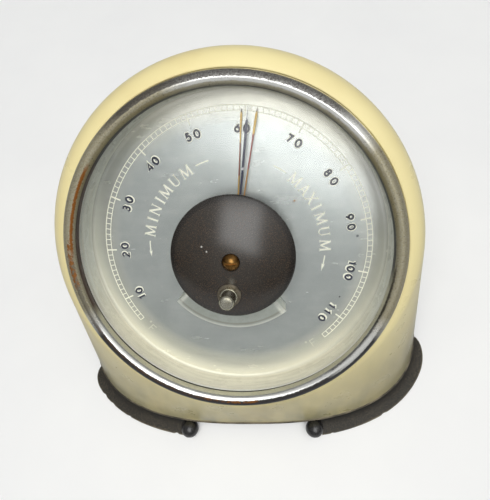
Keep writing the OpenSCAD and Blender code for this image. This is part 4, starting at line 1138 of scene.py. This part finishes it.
# solids shown as they are: node, material, colour, roughness and then mottle and metal where they differ
finishes = {
    "base_screws": ("screwSteel", (160, 154, 142), 0.38),
    "crystal_gasket": ("gasketRubber", (44, 42, 40), 0.75, 0.12, 0.0),
    "centre_pipe": ("pipeBrass", (190, 156, 88), 0.3),
    "pipe_nut": ("nutBrass", (176, 142, 80), 0.36),
    "pointer_washers": ("spacerBrass", (186, 150, 84), 0.32),
    "pointer_arbor": ("arborSteel", (188, 188, 186), 0.22),
    "coil_collet": ("colletBrass", (190, 156, 90), 0.32),
    "crystal_bush": ("bushBrass", (192, 158, 92), 0.3),
    "bush_nut": ("bushNutBrass", (178, 144, 82), 0.36),
    "reset_spindle": ("spindleSteel", (180, 178, 172), 0.26),
    "movement_bridge": ("bridgeBrass", (190, 158, 98), 0.38, 0.16),
    "stud_nuts": ("studNutBrass", (180, 148, 88), 0.36),
    "rear_bush": ("rearBushBrass", (196, 162, 94), 0.28),
    "regulator_arm": ("armSteel", (168, 168, 164), 0.34),
    "coil_stud": ("coilStudBrass", (186, 154, 92), 0.32),
    "bimetal_coil": ("bimetalStrip", (168, 140, 104), 0.4, 0.2),
    "pan_pillars": ("pillarBrass", (184, 152, 92), 0.34),
    "mounting_strap": ("strapSteel", (150, 150, 146), 0.44, 0.18),
    "strap_screws": ("strapScrewSteel", (164, 160, 150), 0.34),
}
shown = {node: plainFinish(*look) for node, look in finishes.items()}
shown["reset_sector"] = sectorGrey
for node, material in shown.items():
    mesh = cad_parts[node].data
    mesh.materials.clear()
    mesh.materials.append(material)


# floor, light and camera

view = {"place": (16.95, -49.4, 194.9), "turn": (19.974, 4.783, -0.322), "lens": 381.71 * 36 / 500,
        "shift": (-(253.5 - 245) / 500, (263.5 - 250) / 500)}
camera = bpy.data.objects.new("camera", bpy.data.cameras.new("camera"))
camera.location = Vector(view["place"]) * mm
camera.rotation_euler = [math.radians(a) for a in view["turn"]]
camera.data.sensor_width = 36.0
camera.data.lens = view["lens"]
camera.data.shift_x, camera.data.shift_y = view["shift"]
camera.data.clip_start, camera.data.clip_end = 0.005, 20.0
scene.collection.objects.link(camera)
scene.camera = camera


# the camera sees a pale floor; light that bounces finds it darker, as the table under such an instrument is
floorLook = {"seen": (0.93, 0.93, 0.925, 1.0), "shade": (0.90, 0.90, 0.90, 1.0),
             "bounce": (0.16, 0.165, 0.18, 1.0), "size": 3.0}


def buildFloor():
    mesh = bpy.data.meshes.new("floor")
    s = floorLook["size"]
    mesh.from_pydata([(-s, -s, 0), (s, -s, 0), (s, s, 0), (-s, s, 0)], [], [(0, 1, 2, 3)])
    floor = bpy.data.objects.new("floor", mesh)
    scene.collection.objects.link(floor)
    material, shader, where = newMaterial("paleFloor", Roughness=0.9)
    seen = blendColour(spread(noise(where, 60.0, 3), 0.3, 0.7), floorLook["seen"], floorLook["shade"])
    rays = put("ShaderNodeLightPath")
    shown = larger(times(rays.outputs["Is Glossy Ray"], 0.5),
                   larger(rays.outputs["Is Camera Ray"], rays.outputs["Is Transmission Ray"]))
    tone = blendColour(shown, floorLook["bounce"], seen)
    wire(shader, {"Base Color": tone})
    mesh.materials.append(material)


buildFloor()


def areaLamp(name, place, aim, width, height, power, colour=(1.0, 1.0, 1.0)):
    data = bpy.data.lights.new(name, "AREA")
    data.shape, data.size, data.size_y = "ELLIPSE", width * mm, height * mm
    data.energy, data.color = power, colour
    lamp = bpy.data.objects.new(name, data)
    lamp.location = Vector(place) * mm
    lamp.rotation_euler = (Vector(aim) - Vector(place)).to_track_quat("-Z", "Y").to_euler()
    lamp.visible_glossy = lamp.visible_transmission = False
    scene.collection.objects.link(lamp)


# one broad soft lamp near the lens, so that light falls off towards the table as in the photograph
areaLamp("keyLamp", fromDial(np.array([-12.0, 60.0, 175.0])), (0, 0, 55), 70, 70, 0.10, (1.0, 0.985, 0.95))

world = bpy.data.worlds.new("studio")
scene.world = world
world.use_nodes = True
bench["tree"] = world.node_tree
world.node_tree.nodes.clear()
heading = put("ShaderNodeTexCoord").outputs["Generated"]
heading = put("ShaderNodeVectorMath", {0: heading}, operation="NORMALIZE").outputs[0]
room = {"low": 0.05, "high": 0.44, "window": 2.8, "glows": (((-0.10, -0.72, 0.66), 0.26, 9.0),
                                                            ((0.42, 0.62, 0.66), 0.4, 5.0)),
        "slant": 0.3, "lower": (-0.1, -0.01), "upper": (0.8, 0.55), "middle": 0.02, "sides": (0.4, 0.24),
        "seen": 0.86}


def along(axis):
    # how far the direction goes along one axis of the dial's frame
    return put("ShaderNodeVectorMath", {0: heading, 1: tuple(dialTurn[:, axis])},
               operation="DOT_PRODUCT").outputs["Value"]


def glow(towards, strength, tightness):
    # soft light from one side: strength * max(cos of the angle to its middle, 0) ^ tightness
    facing = put("ShaderNodeVectorMath", {0: heading, 1: tuple(towards)}, operation="DOT_PRODUCT")
    inside = larger(facing.outputs["Value"], 0.0)
    return times(maths("POWER", inside, tightness), strength)


level = spread(put("ShaderNodeSeparateXYZ", {0: heading}).outputs[2], 0.0, 0.8, room["low"], room["high"])
# a wide pale window above and behind the dial, with a lower edge that slants down to the right
right, up = along(0), along(1)
edge = spread(plus(up, times(right, room["slant"])), *room["lower"])
width = spread(maths("ABSOLUTE", maths("SUBTRACT", right, room["middle"])), *room["sides"])
lit = times(times(edge, width), spread(up, *room["upper"]))
level = plus(level, times(lit, room["window"]))
for towards, strength, tightness in room["glows"]:
    direction = dialTurn @ np.array(towards)
    level = plus(level, glow(direction / np.linalg.norm(direction), strength, tightness))
# the camera sees a plain pale room behind the table
seen = put("ShaderNodeLightPath").outputs["Is Camera Ray"]
level = plus(times(level, maths("SUBTRACT", 1.0, seen)), times(seen, room["seen"]))
softWorld = put("ShaderNodeBackground", {"Color": (0.98, 0.985, 0.98, 1.0), "Strength": level})
put("ShaderNodeOutputWorld", {"Surface": softWorld.outputs[0]})
scene.view_settings.view_transform = "Standard"
print("stage: light and camera set")
